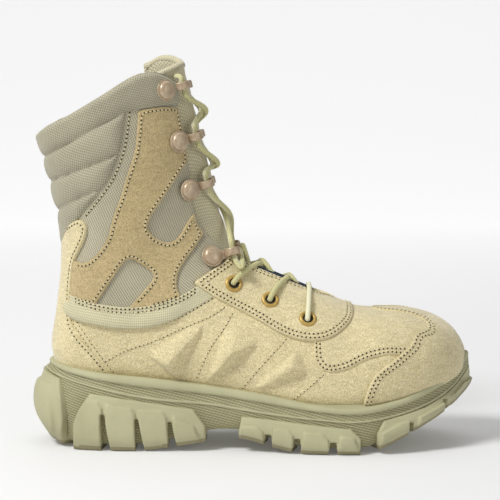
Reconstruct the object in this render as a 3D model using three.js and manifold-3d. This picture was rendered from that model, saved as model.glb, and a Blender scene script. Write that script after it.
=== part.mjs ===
// A right combat boot: moulded lug sole, cup midsole, insole, hollow upper, padded tongue, suede overlays,
// eyelets, riveted lace loops and the lace. Millimetres, +X to the toe, +Y to the inner side of the foot,
// +Z up. The origin lies on the floor under the middle of the boot.
import * as THREE from 'three';
import { mergeVertices } from 'three/addons/utils/BufferGeometryUtils.js';
import Module from 'manifold-3d';

const wasm = await Module();
wasm.setup();

// ---------------------------------------------------------------- driving dimensions

const soleLength = 300; // over the heel lug and the toe lug
const ballWidth = 106; // over the sole at the ball, without the side lugs
const collarHeight = 252; // floor to the highest point of the collar

const wall = 2.6; // suede or fabric with its lining
const collarPad = 5; // extra foam behind the ankle and round the collar
const overlayThickness = 1.4;
const gap = 0.3; // between pieces that meet
const insoleThickness = 4.5;
const tongueThickness = 5;
const tongueClearance = 1.3; // under the upper's wall
const laceRadius = 1.8;
const lugDepth = 4; // tread below the sole's body
const lugReach = 21; // how far a side lug runs in under the sole

// The tables are drawn for this sample size and graded to the driving dimensions.
const sample = { length: 300, ballWidth: 106, collarHeight: 252 };
const along = soleLength / sample.length;
const across = ballWidth / sample.ballWidth;
const up = collarHeight / sample.collarHeight;

// ---------------------------------------------------------------- curves through tables

// Cubic through rows of [at, value], level with the neighbours' slope, held past the ends.
function curveThrough(rows) {
  const slope = (i) => {
    const a = rows[Math.max(i - 1, 0)];
    const b = rows[Math.min(i + 1, rows.length - 1)];
    return (b[1] - a[1]) / (b[0] - a[0]);
  };
  return (at) => {
    if (at <= rows[0][0]) return rows[0][1];
    if (at >= rows.at(-1)[0]) return rows.at(-1)[1];
    const i = rows.findIndex((row) => row[0] > at) - 1;
    const step = rows[i + 1][0] - rows[i][0];
    const t = (at - rows[i][0]) / step;
    const [start, end] = [rows[i][1], rows[i + 1][1]];
    return (
      start * (2 * t ** 3 - 3 * t ** 2 + 1) +
      slope(i) * step * (t ** 3 - 2 * t ** 2 + t) +
      end * (3 * t ** 2 - 2 * t ** 3) +
      slope(i + 1) * step * (t ** 3 - t ** 2)
    );
  };
}

// Height above the floor as a function of x, from sample-size rows of [x, z].
function heightProfile(rows) {
  return curveThrough(rows.map(([x, z]) => [x * along, z * up]));
}

const smooth = THREE.MathUtils.smoothstep;
const signedPower = (value, power) => Math.sign(value) * Math.abs(value) ** power;

// ---------------------------------------------------------------- the form that the upper is lasted on

// One row for each section. A section lies in the plane through its back and front points and the Y direction.
// back and front: its lowest or rearmost point and its highest or foremost one. ridge, outer and inner: y of the
// ridge line and of the widest points. widest: how far along the section those are. low and top: squareness.
const columns = ['backX', 'backZ', 'frontX', 'frontZ', 'ridge', 'outer', 'inner', 'widest', 'low', 'top'];
const sections = [
  [142, 50, 142, 63, 10, 2, 17, 0.5, 2.2, 2.2],
  [139.5, 46, 139, 69, 10, -8, 25, 0.45, 2.4, 2.3],
  [134, 42, 133, 76.5, 9, -19, 32, 0.42, 2.6, 2.4],
  [124, 37.5, 121, 83.5, 8, -31, 39, 0.4, 2.9, 2.6],
  [108, 32.5, 104, 87.5, 7, -40.5, 43.5, 0.36, 3.1, 2.7],
  [88, 28, 84, 88.5, 5, -46.5, 45.5, 0.34, 3.3, 2.6],
  [64, 25, 63, 91.5, 4, -48.5, 45.5, 0.32, 3.4, 2.3],
  [38, 24, 42, 100.5, 3, -47.5, 41.5, 0.31, 3.4, 2.15],
  [8, 27, 18, 112.5, 2, -42.5, 35.5, 0.31, 3.3, 2.05],
  [-24, 32, -1, 123.5, 1.5, -38, 32.5, 0.32, 3.2, 2],
  [-58, 36.5, -12, 133.5, 1, -37, 33, 0.33, 3.1, 2],
  [-92, 39, -19, 145, 0.5, -36.5, 33.5, 0.33, 2.9, 2],
  [-123, 42.5, -24, 157, 0, -35.5, 33.5, 0.35, 2.6, 2],
  [-135.5, 63, -27.5, 170, 0, -35, 33.5, 0.38, 2.4, 2],
  [-132.5, 92, -30.5, 184, 0, -35.5, 34.5, 0.42, 2.3, 2],
  [-129.5, 118, -34, 199, 0, -37, 36, 0.44, 2.2, 2],
  [-129.5, 145, -38, 214, 0, -38.5, 37.5, 0.46, 2.15, 2],
  [-135, 172, -42, 230, 0, -40, 39, 0.47, 2.1, 2],
  [-142, 198, -46, 246, 0, -41.5, 40.5, 0.48, 2.1, 2],
  [-148, 219, -50, 262, 0, -42.5, 41.5, 0.49, 2.1, 2],
  [-152.5, 237, -54, 278, 0, -43, 42, 0.5, 2.1, 2],
].map((row) => Object.fromEntries(columns.map((name, i) => [name, row[i]])));
const collarSection = 17.5; // where the padding is at its full thickness
const topSection = sections.length - 1;

const columnCurves = Object.fromEntries(
  columns.map((name) => [name, curveThrough(sections.map((row, i) => [i, row[name]]))]),
);
const sectionAt = (s) => Object.fromEntries(columns.map((name) => [name, columnCurves[name](s)]));

// A point of the form: s counts sections from the toe tip, angle turns from the front (0) over the inner side (+)
// or the outer side (-) to the back (pi). grow pushes the surface out: at the front, the back, the sides.
function formPoint(s, angle, grow) {
  const row = sectionAt(s);
  const back = new THREE.Vector2(row.backX * along, row.backZ * up);
  const front = new THREE.Vector2(row.frontX * along, row.frontZ * up);
  const chord = front.clone().sub(back).normalize();
  back.addScaledVector(chord, -grow.back);
  front.addScaledVector(chord, grow.front);
  const upper = Math.cos(angle) > 0;
  const power = 2 / (upper ? row.top : row.low);
  const reach = signedPower(Math.cos(angle), power);
  const share = row.widest + reach * (upper ? 1 - row.widest : row.widest);
  const side = Math.sin(angle) < 0 ? row.outer * across - grow.side : row.inner * across + grow.side;
  const width = Math.abs(signedPower(Math.sin(angle), power));
  const ridge = row.ridge * across;
  const point = back.lerp(front, share);
  const toeShift = grow.front * Math.max(0, 1 - s / 2.5); // the tip moves out along +X
  return new THREE.Vector3(point.x + toeShift, ridge + width * (side - ridge), point.y);
}

// The angle at which the form's front is halfWidth from the ridge line.
function angleAtWidth(s, halfWidth, grow, inner) {
  const row = sectionAt(s);
  const side = inner ? row.inner * across + grow.side : -row.outer * across + grow.side;
  const share = Math.min(halfWidth / (side + (inner ? -1 : 1) * row.ridge * across), 1);
  return Math.asin(share ** (row.top / 2)) * (inner ? 1 : -1);
}

const evenGrow = (d) => () => ({ front: d, back: d, side: d });
// The hollow's surface: thin at the front, padded behind the ankle and round the collar.
function wallGrow(extra) {
  return (s) => {
    const pad = collarPad * smooth(s, 14, collarSection);
    return { front: -wall - extra, back: -wall - pad - extra, side: -wall - 0.5 * pad - extra };
  };
}

// ---------------------------------------------------------------- solids

// Closed solid through rings of equal length. Each end is closed by a ladder from one half to the other.
function loft(rings) {
  const count = rings[0].length;
  const positions = rings.flat().flatMap((p) => [p.x, p.y, p.z]);
  const faces = [];
  const quad = (a, b, c, d) => faces.push(a, b, c, a, c, d);
  for (let r = 0; r + 1 < rings.length; r++) {
    for (let i = 0; i < count; i++) {
      const next = (i + 1) % count;
      quad(r * count + i, r * count + next, (r + 1) * count + next, (r + 1) * count + i);
    }
  }
  for (const [base, flip] of [[0, true], [(rings.length - 1) * count, false]]) {
    for (let i = 0; i < count / 2; i++) {
      const rung = [i, i + 1, count - i - 1, (count - i) % count].map((n) => base + n);
      if (flip) rung.reverse();
      if (i === 0) faces.push(rung[flip ? 3 : 0], rung[1], rung[2]);
      else if (i + 1 === count / 2) faces.push(rung[0], rung[1], rung[3]);
      else quad(...rung);
    }
  }
  const geometry = new THREE.BufferGeometry();
  geometry.setAttribute('position', new THREE.Float32BufferAttribute(positions, 3));
  geometry.setIndex(faces);
  return geometry;
}

// A manifold-3d solid from a geometry, turned outwards if its faces point in.
function solid(geometry) {
  const bare = geometry.clone();
  bare.deleteAttribute('normal');
  bare.deleteAttribute('uv');
  const merged = mergeVertices(bare, 1e-3);
  const vertices = merged.attributes.position.array;
  const triangles = new Uint32Array(merged.index.array);
  const corner = (n) => new THREE.Vector3().fromArray(vertices, 3 * triangles[n]);
  let volume = 0;
  for (let i = 0; i < triangles.length; i += 3) {
    volume += corner(i).dot(corner(i + 1).cross(corner(i + 2)));
  }
  if (volume < 0) triangles.reverse();
  return new wasm.Manifold(new wasm.Mesh({ numProp: 3, vertProperties: vertices, triVerts: triangles }));
}

const union = (solids) => solids.reduce((a, b) => a.add(b));

// A prism along Y from an outline of [x, z] corners.
function sidePrism(corners, fromY = -90, toY = 90, curved = false) {
  const points = corners.map(([x, z]) => new THREE.Vector2(x * along, z * up));
  const shape = new THREE.Shape();
  if (curved) shape.moveTo(points[0].x, points[0].y).splineThru(points.slice(1));
  else shape.setFromPoints(points);
  const settings = { depth: toY - fromY, bevelEnabled: false, curveSegments: 4 };
  const geometry = new THREE.ExtrudeGeometry(shape, settings);
  geometry.rotateX(Math.PI / 2);
  geometry.translate(0, toY, 0);
  return solid(geometry);
}

function material(color, roughness, metalness = 0) {
  return new THREE.MeshStandardMaterial({ color, roughness, metalness });
}
const suede = material('#cdb98c', 0.95);
const fabric = material('#b9ad8c', 0.9);
const soleRubber = material('#b9b58d', 0.75);
const midsoleFoam = material('#c4c09a', 0.7);
const liningCloth = material('#3b3c40', 0.95);
const paintedMetal = material('#b08d68', 0.45, 0.3);
const eyeletMetal = material('#b89550', 0.5, 0.4);
const laceCord = material('#cfc99a', 0.85);

const boot = new THREE.Group();

function addPiece(name, shape, look, parent = boot) {
  let geometry = shape;
  if (!shape.isBufferGeometry) {
    const made = shape.getMesh();
    geometry = new THREE.BufferGeometry();
    geometry.setAttribute('position', new THREE.BufferAttribute(made.vertProperties, 3));
    geometry.setIndex(new THREE.BufferAttribute(made.triVerts, 1));
    geometry.computeVertexNormals();
  }
  const mesh = new THREE.Mesh(geometry, look);
  mesh.name = name;
  parent.add(mesh);
  return mesh;
}

// ---------------------------------------------------------------- the form, whole

const ringSides = 22;
// Sections close together at the toe tip and the heel, where the form turns fastest.
const formStops = [0, 0.4, 1, 1.7, 2.5, 3.5, 5, 6, 7, 8, 9.3, 11, 11.7, 12.3, 13, 14.5, 16, 18, 20];

function formSolid(growAt, stops = formStops) {
  const rings = stops.map((s) =>
    Array.from({ length: ringSides }, (_, i) => formPoint(s, (2 * Math.PI * i) / ringSides, growAt(s))),
  );
  return solid(loft(rings));
}

const outerForm = formSolid(evenGrow(0));
const hollowForm = formSolid(wallGrow(0));

// ---------------------------------------------------------------- sole outline and heights

// The rim's plan at the joint between midsole and outsole: y of the outer and the inner edge.
const soleOutline = [
  { x: -137, outer: -20, inner: 19 },
  { x: -122, outer: -34, inner: 32.5 },
  { x: -98, outer: -40, inner: 38 },
  { x: -66, outer: -41, inner: 37.5 },
  { x: -30, outer: -41, inner: 35.5 },
  { x: 6, outer: -45.5, inner: 38.5 },
  { x: 40, outer: -52, inner: 46 },
  { x: 70, outer: -53, inner: 50.5 },
  { x: 98, outer: -46.5, inner: 48.5 },
  { x: 121, outer: -34, inner: 41 },
  { x: 138, outer: -15, inner: 29 },
];
const heelEnd = { x: -143, y: 0 };
const toeEnd = { x: 148.5, y: 9 };
const outlinePoints = 42;

const planCurve = new THREE.CatmullRomCurve3(
  [
    new THREE.Vector3(heelEnd.x, heelEnd.y),
    ...soleOutline.map((row) => new THREE.Vector3(row.x, row.outer)),
    new THREE.Vector3(toeEnd.x, toeEnd.y),
    ...soleOutline.toReversed().map((row) => new THREE.Vector3(row.x, row.inner)),
  ].map((p) => p.set(p.x * along, p.y * across, 0)),
  true,
  'centripetal',
);

// The plan outline pushed out by a distance, which may depend on x, at heights given by a function of x.
function soleRing(out, heightAt) {
  return Array.from({ length: outlinePoints }, (_, i) => {
    const t = i / outlinePoints;
    const point = planCurve.getPoint(t);
    const tangent = planCurve.getTangent(t);
    const distance = typeof out === 'function' ? out(point.x) : out;
    const outward = new THREE.Vector3(tangent.y, -tangent.x, 0);
    const moved = point.clone().addScaledVector(outward, distance);
    moved.z = heightAt(moved.x);
    return moved;
  });
}

const rimTop = heightProfile([
  [-143, 59], [-124, 55], [-100, 51.3], [-66, 47.8], [-30, 43.3], [6, 38.3], [40, 32.5],
  [68, 30.5], [95, 35], [115, 42.5], [130, 50], [140, 56.5], [148, 61.5],
]);
const joint = heightProfile([
  [-143, 51.5], [-130, 48], [-114, 44], [-93, 39], [-66, 34.2], [-30, 31], [6, 25.8], [40, 22.7],
  [68, 21.2], [90, 24], [110, 29], [127, 35.5], [138, 42], [148, 51],
]);
const core = heightProfile([
  [-143, 33], [-90, 32], [-50, 29], [-10, 24], [30, 18.3], [60, 17.5], [85, 19.5], [110, 25],
  [130, 32], [148, 40],
]);
const treadCurve = heightProfile([
  [-150, 12], [-137, 4], [-122, 0], [-100, 0], [-80, 0], [-58, 2.2], [-33, 6], [-10, 9], [13, 3.5],
  [30, 0], [50, 0], [72, 0], [84, 3.4], [100, 10.5], [113, 17], [127, 24], [143, 34], [150, 39],
]);
const tread = (x) => Math.max(treadCurve(x), 0); // heel and forefoot stand flat on the floor
const bodyBottom = heightProfile([
  [-146, 13], [-122, lugDepth + 1], [-80, lugDepth], [-58, 7], [-38, 12.5], [-15, 14.5], [4, 12],
  [20, 7], [36, lugDepth], [72, lugDepth], [85, 8], [100, 14.5], [127, 28], [148, 43],
]);

// Midsole and outsole meet at the joint round the edge and in a dish, dishInset in from it, over the middle.
const dishInset = 18;
const jointInset = 0.8;

// ---------------------------------------------------------------- midsole

function makeMidsole() {
  const between = (share) => (x) => THREE.MathUtils.lerp(joint(x), rimTop(x), share);
  const rings = [
    soleRing(-dishInset, (x) => core(x) + gap),
    soleRing(-jointInset, (x) => joint(x) + gap),
    soleRing(-1, between(0.55)),
    soleRing(0.2, between(0.65)),
    soleRing(-1.2, rimTop),
  ];
  return solid(loft(rings)).subtract(formSolid(evenGrow(gap)));
}

// ---------------------------------------------------------------- outsole

// How far the side lugs stand out of the sole's side, from tread (0) to joint (1).
const proudRows = [
  { at: 0, out: -1.5 },
  { at: 0.22, out: 2.4 },
  { at: 0.6, out: 3.4 },
  { at: 0.95, out: 0.8 },
];
// Times as far again at the back of the heel, and less far round the toe.
const heelNose = { more: 1.1, from: -122, full: -142 };
const toeNose = { more: -0.6, from: 120, full: 145 };
const floorMargin = 5; // the cuts from below start this far under the tread

// A lug block is an outline of [x, z] corners on the sole's side.
const lugBlocks = {
  heelBack: [[-160, 1], [-131, 1], [-129, 20], [-131.5, 48], [-160, 58]],
  heelSide: [[-121, -2], [-120.5, 18], [-116, 30], [-110, 38.5], [-41, 28.3], [-33, 17.5], [-32, -2]],
  forefoot: [[-10.5, -2], [-10.5, 14], [-8.5, 24], [20, 21.5], [64, 17.2], [70.5, 11], [70, -2]],
  toe: [
    [83.5, -2], [82, 13.5], [86, 22.3], [100, 25.5], [115, 29.5],
    [130, 36.5], [141, 44], [146, 49.5], [170, 49.5], [170, -2],
  ],
};
// Slots between lugs. foot and head: half widths at the tread and at the top. lean: how far forward the foot is.
const slots = [
  { x: -101.5, top: 25, foot: 4, head: 0.8, lean: 3.5 },
  { x: -78.5, top: 22, foot: 3.8, head: 0.8, lean: 3.5 },
  { x: -56.5, top: 20, foot: 3.8, head: 0.8, lean: 4 },
  { x: 9, top: 12.5, foot: 4.2, head: 1.5, lean: 0 },
  { x: 28, top: 10.5, foot: 4.4, head: 1.5, lean: 0 },
  { x: 52, top: 8.5, foot: 4, head: 1.5, lean: 0 },
  { x: 104.5, top: 20.5, foot: 3.6, head: 1, lean: -1 },
  { x: 129, top: 33.5, foot: 3.2, head: 1, lean: -1 },
];
const flexGroove = [[73, -3], [71.5, 12], [81, 13], [80.5, -3]];
// Chevron treads under the middle: inset from the outline, overlap into the sole's body.
const chevrons = {
  tips: [-104, -82, -60, 20, 42, 60, 98, 116],
  halfWidth: 13,
  arm: 7,
  sweep: 8,
  inset: 4,
  overlap: 2,
};

// How many times as far the lugs stand out at x, against the middle of the boot.
function noseFactor(x) {
  const heel = heelNose.more * smooth(-x, -heelNose.from * along, -heelNose.full * along);
  const toe = toeNose.more * smooth(x, toeNose.from * along, toeNose.full * along);
  return 1 + heel + toe;
}

function makeLugs() {
  const proud = proudRows.map(({ at, out }) => {
    const height = (x) => THREE.MathUtils.lerp(tread(x), joint(x) - gap, at);
    return soleRing((x) => out * noseFactor(x), height);
  });
  const underside = solid(
    loft([
      soleRing(-lugReach, (x) => tread(x) - floorMargin),
      soleRing(-lugReach, (x) => bodyBottom(x) + 1),
    ]),
  );
  const blocks = union(Object.values(lugBlocks).map((corners) => sidePrism(corners)));
  const cuts = union(
    slots.map(({ x, top, foot, head, lean }) =>
      sidePrism([[x - foot + lean, -4], [x + foot + lean, -4], [x + head, top], [x - head, top]]),
    ),
  );
  return solid(loft(proud)).intersect(blocks).subtract(underside).subtract(cuts);
}

function makeChevrons() {
  const { tips, halfWidth, arm, sweep, inset, overlap } = chevrons;
  const layer = solid(loft([soleRing(-inset, tread), soleRing(-inset, (x) => bodyBottom(x) + overlap)]));
  const outline = [
    [0, 0],
    [-sweep, halfWidth],
    [-sweep - arm, halfWidth],
    [-arm, 0],
    [-sweep - arm, -halfWidth],
    [-sweep, -halfWidth],
  ];
  const vees = tips.map((tip) => {
    const corners = outline.map(([x, y]) => new THREE.Vector2((tip + x) * along, y * across));
    const shape = new THREE.Shape().setFromPoints(corners);
    const vee = new THREE.ExtrudeGeometry(shape, { depth: 60, bevelEnabled: false });
    return solid(vee.translate(0, 0, -floorMargin));
  });
  return union(vees).intersect(layer);
}

function makeOutsole() {
  const body = solid(
    loft([
      soleRing(-5, bodyBottom),
      soleRing(-2.6, (x) => THREE.MathUtils.lerp(bodyBottom(x), joint(x), 0.15)),
      soleRing(-jointInset, (x) => joint(x) - 1.2),
      soleRing(-jointInset, joint),
    ]),
  );
  const dish = solid(
    loft([
      soleRing(-dishInset, core),
      soleRing(-jointInset, joint),
      soleRing(-jointInset, (x) => joint(x) + 20),
    ]),
  );
  return union([body, makeLugs(), makeChevrons()]).subtract(dish).subtract(sidePrism(flexGroove));
}

// ---------------------------------------------------------------- insole

function makeInsole() {
  const edge = 1; // the layer thins out where its side meets the wall
  const footStops = formStops.filter((s) => s <= 15.5);
  const layer = formSolid(wallGrow(gap), footStops);
  const above = formSolid(wallGrow(-edge), footStops).translate([0, 0, insoleThickness + gap + edge]);
  const footbed = solid(loft([soleRing(-4, (x) => core(x) - 10), soleRing(-4, (x) => core(x) + 13)]));
  return layer.intersect(footbed).subtract(above);
}

// ---------------------------------------------------------------- upper

// Half the throat's width, from rows of [section, width].
const throatHalfWidth = curveThrough([
  [6.7, 0.5], [6.9, 6], [7.3, 9.5], [8, 11.5], [9.5, 14], [11.5, 18], [14, 21], [20, 22.5],
]);
const throatDepth = { atVamp: 12, atShaft: 30 }; // how deep the cutter reaches under the ridge
const throatHeight = 12; // and how far above it
const sectionPitch = 25; // about the distance between two sections over the vamp

// Box-shaped rings that follow the throat, from the vamp to above the collar.
function throatCutter(margin = 0) {
  const start = 6.7 - margin / sectionPitch;
  const rings = [start, 6.9, 7.3, 8, 9, 10, 11, 12, 14, 16, 18, 20].map((s) => {
    const row = sectionAt(s);
    const front = new THREE.Vector2(row.frontX * along, row.frontZ * up);
    const chord = front.clone().sub(new THREE.Vector2(row.backX * along, row.backZ * up)).normalize();
    const depth = THREE.MathUtils.lerp(throatDepth.atVamp, throatDepth.atShaft, smooth(s, 5, 10));
    const high = front.clone().addScaledVector(chord, throatHeight);
    const low = front.clone().addScaledVector(chord, -depth);
    const half = throatHalfWidth(s) + margin;
    const middle = row.ridge * across;
    return [
      new THREE.Vector3(high.x, middle - half, high.y),
      new THREE.Vector3(low.x, middle - half, low.y),
      new THREE.Vector3(low.x, middle + half, low.y),
      new THREE.Vector3(high.x, middle + half, high.y),
    ];
  });
  return solid(loft(rings));
}

// The collar's line from the heel tab over the side to the front.
const collarLine = [
  [-160, 205], [-147, 211], [-136, 217.5], [-122, 224], [-99, 237.5],
  [-78, 250], [-67, 252], [-58, 249], [-50, 243.5], [-30, 234],
];

function collarCutter() {
  return sidePrism([...collarLine, [-20, 300], [-170, 300]]);
}

// The bottom of the shell is open inside the lasting margin.
function bottomCutter() {
  const margin = 17;
  const below = (x) => core(x) - 22;
  const above = (x) => core(x) + 15;
  return solid(loft([soleRing(-margin, below), soleRing(-margin, above)]));
}

// Where the eyelets sit, on both sides, toe end first.
const eyelets = [
  { x: 35.3, z: 86.5 },
  { x: 10.3, z: 98.7 },
  { x: -14.5, z: 109.7 },
];
const eyeletHole = 3.9;

// A place on the form's side at a given x and z, with its outward normal. side is -1 outside, +1 inside.
function placeOnForm(x, z, side, growBy = 0) {
  const grow = { front: growBy, back: growBy, side: growBy };
  let [s, angle] = [10, side * 1.2];
  for (let pass = 0; pass < 40; pass++) {
    const at = formPoint(s, angle, grow);
    const [ds, da] = [formPoint(s + 0.01, angle, grow).sub(at), formPoint(s, angle + 0.01, grow).sub(at)];
    const det = ds.x * da.z - da.x * ds.z;
    const [missX, missZ] = [x * along - at.x, z * up - at.z];
    s = THREE.MathUtils.clamp(s + 0.006 * ((missX * da.z - missZ * da.x) / det), 4, topSection - 0.1);
    const turned = angle + 0.006 * ((ds.x * missZ - ds.z * missX) / det);
    angle = side * THREE.MathUtils.clamp(side * turned, 0.1, 2.8);
  }
  const at = formPoint(s, angle, grow);
  const down = formPoint(s + 0.02, angle, grow).sub(at);
  const round = formPoint(s, angle + 0.02, grow).sub(at);
  const normal = round.cross(down).normalize();
  if (normal.y * side < 0) normal.negate();
  return { at, normal, s, angle };
}

// A frame standing on the form: +Z along the normal, +X across the boot towards its front.
function standOnForm(group, place) {
  const forward = new THREE.Vector3(1, 0, 0.25).projectOnPlane(place.normal).normalize();
  const sideways = place.normal.clone().cross(forward);
  group.matrix.makeBasis(forward, sideways, place.normal).setPosition(place.at);
  group.matrix.decompose(group.position, group.quaternion, group.scale);
  return group;
}

function eyeletCutter() {
  const cutters = [];
  for (const side of [-1, 1]) {
    for (const { x, z } of eyelets) {
      const frame = standOnForm(new THREE.Object3D(), placeOnForm(x, z, side));
      frame.updateMatrix();
      const hole = new THREE.CylinderGeometry(eyeletHole, eyeletHole, 14, 10).rotateX(Math.PI / 2);
      cutters.push(solid(hole.applyMatrix4(frame.matrix)));
    }
  }
  return union(cutters);
}
const eyeletHoles = eyeletCutter();

function makeUpper() {
  return outerForm
    .subtract(hollowForm)
    .subtract(bottomCutter())
    .subtract(throatCutter())
    .subtract(collarCutter())
    .subtract(eyeletHoles);
}

// ---------------------------------------------------------------- overlays that stand proud

const overlayLayer = formSolid(evenGrow(gap + overlayThickness)).subtract(formSolid(evenGrow(gap)));
const rimClearance = solid(loft([soleRing(8, (x) => core(x) - 20), soleRing(8, (x) => rimTop(x) + 1)]));

function makeToeCap() {
  const outline = [
    [71, 20], [71, 38], [79, 56], [95, 67], [104, 75.5],
    [113, 84], [118, 92], [118, 110], [160, 110], [160, 20],
  ];
  return overlayLayer.intersect(sidePrism(outline)).subtract(rimClearance);
}

function makeHeelCounter() {
  const outline = [
    [-150, 30], [-98, 30], [-98, 53], [-107, 65], [-116.5, 76], [-121.5, 86], [-122, 108],
    [-118.5, 128], [-113.5, 139], [-110.5, 148], [-112.5, 153], [-117, 154.5], [-127, 149], [-150, 143],
  ];
  return overlayLayer.intersect(sidePrism(outline)).subtract(rimClearance);
}

function makeEyestay() {
  const setBack = 1.6; // from the throat's edge
  const outline = [
    [-41, 112], [-24.7, 101], [-1, 89], [22, 77.5], [38.5, 73.7], [50, 75.5],
    [60, 81], [66, 87], [67, 96], [67, 125], [-17, 150], [-20, 126],
  ];
  return overlayLayer.intersect(sidePrism(outline)).subtract(throatCutter(setBack)).subtract(eyeletHoles);
}

// ---------------------------------------------------------------- tongue

const tongueBulge = 4; // its padding swells out between the facings of the shaft
const tongueReach = 9; // how far it runs under each facing
const thinEnd = 0.45; // its thickness where it is sewn to the vamp, as a share
const topTaper = 0.3; // how much it narrows at its top, as a share

function makeTongue() {
  const stops = [6.2, 6.6, 7, 8, 9, 10, 11, 12, 13.5, 15, 17, 18.2, 18.8, 19.15];
  const rings = stops.map((s) => {
    const outer = wallGrow(tongueClearance)(s);
    const thickness = tongueThickness * THREE.MathUtils.lerp(thinEnd, 1, smooth(s, 6, 9));
    const inner = { front: outer.front - thickness, back: outer.back, side: outer.side - thickness };
    const narrowing = 1 - topTaper * smooth(s, 18, 19.6) ** 2;
    const half = throatHalfWidth(Math.max(s, 7));
    const bulge = tongueBulge * smooth(s, 9, 12);
    const places = [
      { width: -(half + tongueReach) * narrowing, bulge: 0 },
      { width: -(half - 0.5) * narrowing, bulge: 0 },
      { width: -(half - 5) * narrowing, bulge: 0.8 * bulge },
      { width: 0, bulge },
      { width: (half - 5) * narrowing, bulge: 0.8 * bulge },
      { width: (half - 0.5) * narrowing, bulge: 0 },
      { width: (half + tongueReach) * narrowing, bulge: 0 },
    ];
    const face = (layer, swell) =>
      places.map(({ width, bulge: lift }) => {
        const grow = { ...layer, front: layer.front + swell * lift };
        return formPoint(s, angleAtWidth(s, Math.abs(width), outer, width > 0), grow);
      });
    return [...face(outer, 1), ...face(inner, 0).reverse()];
  });
  return solid(loft(rings.map(fromMiddle)));
}

// Turns a tongue ring so that its first point is the middle of the outer face, which the ladder ends need.
function fromMiddle(ring) {
  const middle = Math.floor(ring.length / 4);
  return [...ring.slice(middle), ...ring.slice(0, middle)];
}

// ---------------------------------------------------------------- eyelets, lace loops and rivets

function eyeletShape() {
  const profile = [[2.6, -3], [3.5, -3], [3.5, 2.5], [5.7, 2.5], [4.6, 3.5], [2.6, 3.5], [2.6, -3]];
  return new THREE.LatheGeometry(profile.map(([r, z]) => new THREE.Vector2(r, z)), 10).rotateX(Math.PI / 2);
}

const loopPlate = { rivetRadius: 6.3, neck: 3.4, bend: 3.5, length: 12, thickness: 1.1 };
const loopEye = { length: 8.5, height: 7, width: 5.4, bar: 1.2 };

const eyeStart = loopPlate.length - loopPlate.bend - 2; // the eye grows out of the arm's end

// Brings a shape drawn along the arm, from its bend, into the loop's own frame.
function bendArm(geometry, dip) {
  return geometry.rotateY(dip).translate(loopPlate.bend, 0, 0);
}

// A flat disc for the rivet, an arm bent in towards the throat and at its end an eye for the lace.
function laceLoopShape(dip) {
  const { rivetRadius, neck, bend, length, thickness } = loopPlate;
  const flat = { depth: thickness, bevelEnabled: false, curveSegments: 5 };
  const disc = new THREE.Shape();
  disc.absarc(0, 0, rivetRadius, 0, 2 * Math.PI, false);
  const arm = new THREE.Shape();
  arm.moveTo(0, -neck).lineTo(length - bend, -neck).lineTo(length - bend, neck).lineTo(0, neck);
  const eye = new THREE.Shape();
  const { length: eyeLength, height, width, bar } = loopEye;
  const round = height / 3;
  eye.moveTo(0, 0).lineTo(eyeLength - round, 0).lineTo(eyeLength, round).lineTo(eyeLength, height - round);
  eye.lineTo(eyeLength - round, height).lineTo(round, height).lineTo(0, height - round).lineTo(0, 0);
  const hole = new THREE.Path();
  hole.moveTo(bar, bar).lineTo(bar, height - bar);
  hole.lineTo(eyeLength - bar, height - bar).lineTo(eyeLength - bar, bar);
  eye.holes.push(hole);
  const bail = new THREE.ExtrudeGeometry(eye, { depth: width, bevelEnabled: false });
  bail.rotateX(Math.PI / 2).translate(eyeStart, width / 2, 0);
  const bent = [new THREE.ExtrudeGeometry(arm, flat), bail].map((geometry) => solid(bendArm(geometry, dip)));
  return union([solid(new THREE.ExtrudeGeometry(disc, flat)), ...bent]);
}

// The middle of an eye's mouth, in the boot's frame: out of the mouth and, with rise, further off the shaft.
// up is 1 for the upper mouth, -1 for the lower.
function eyeMouth({ frame, dip }, side, up, out, rise = 0) {
  const middle = new THREE.Vector3(eyeStart + loopEye.length / 2, 0, loopEye.height / 2 + rise);
  middle.y = -side * up * (loopEye.width / 2 + out);
  middle.applyAxisAngle(new THREE.Vector3(0, 1, 0), dip);
  middle.x += loopPlate.bend;
  return frame.localToWorld(middle);
}

function rivetShape() {
  const [radius, height] = [5.4, 3.2];
  const profile = [[0, 0], [radius, 0], [radius * 0.75, height * 0.7], [0, height]];
  return new THREE.LatheGeometry(profile.map(([r, z]) => new THREE.Vector2(r, z)), 10).rotateX(Math.PI / 2);
}

// Rivet centres, bottom to top. dip bends the arm in, in radians, to follow the shaft's curve.
const laceLoops = [
  { x: -29, z: 128.4, dip: 0 },
  { x: -44.5, z: 173.4, dip: 0.3 },
  { x: -51.5, z: 205.7, dip: 0.3 },
  { x: -60, z: 239.6, dip: 0.3 },
];
const sideNames = new Map([[-1, 'lateral'], [1, 'medial']]);
const loopLift = 2.2; // clears the curve of the shaft and the overlay under the flat disc

// Adds the eyelets, loops and rivets of one side, and returns where the eyelets and loops stand, toe end first.
function addHardware(side) {
  const eyeletPlaces = eyelets.map(({ x, z }, i) => {
    const place = placeOnForm(x, z, side);
    standOnForm(addPiece(`eyelet_${sideNames.get(side)}_${i + 1}`, eyeletShape(), eyeletMetal), place);
    return place;
  });
  const loops = laceLoops.map(({ x, z, dip }, i) => {
    const place = placeOnForm(x, z, side);
    place.at.addScaledVector(place.normal, loopLift);
    const frame = standOnForm(new THREE.Group(), place);
    boot.add(frame);
    addPiece(`lace_loop_${sideNames.get(side)}_${i + 1}`, laceLoopShape(dip), paintedMetal, frame);
    const rivet = addPiece(`rivet_${sideNames.get(side)}_${i + 1}`, rivetShape(), paintedMetal, frame);
    rivet.position.z = loopPlate.thickness + gap;
    frame.updateMatrixWorld();
    return { frame, dip };
  });
  return { side, eyelets: eyeletPlaces, loops };
}

// ---------------------------------------------------------------- lace

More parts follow.
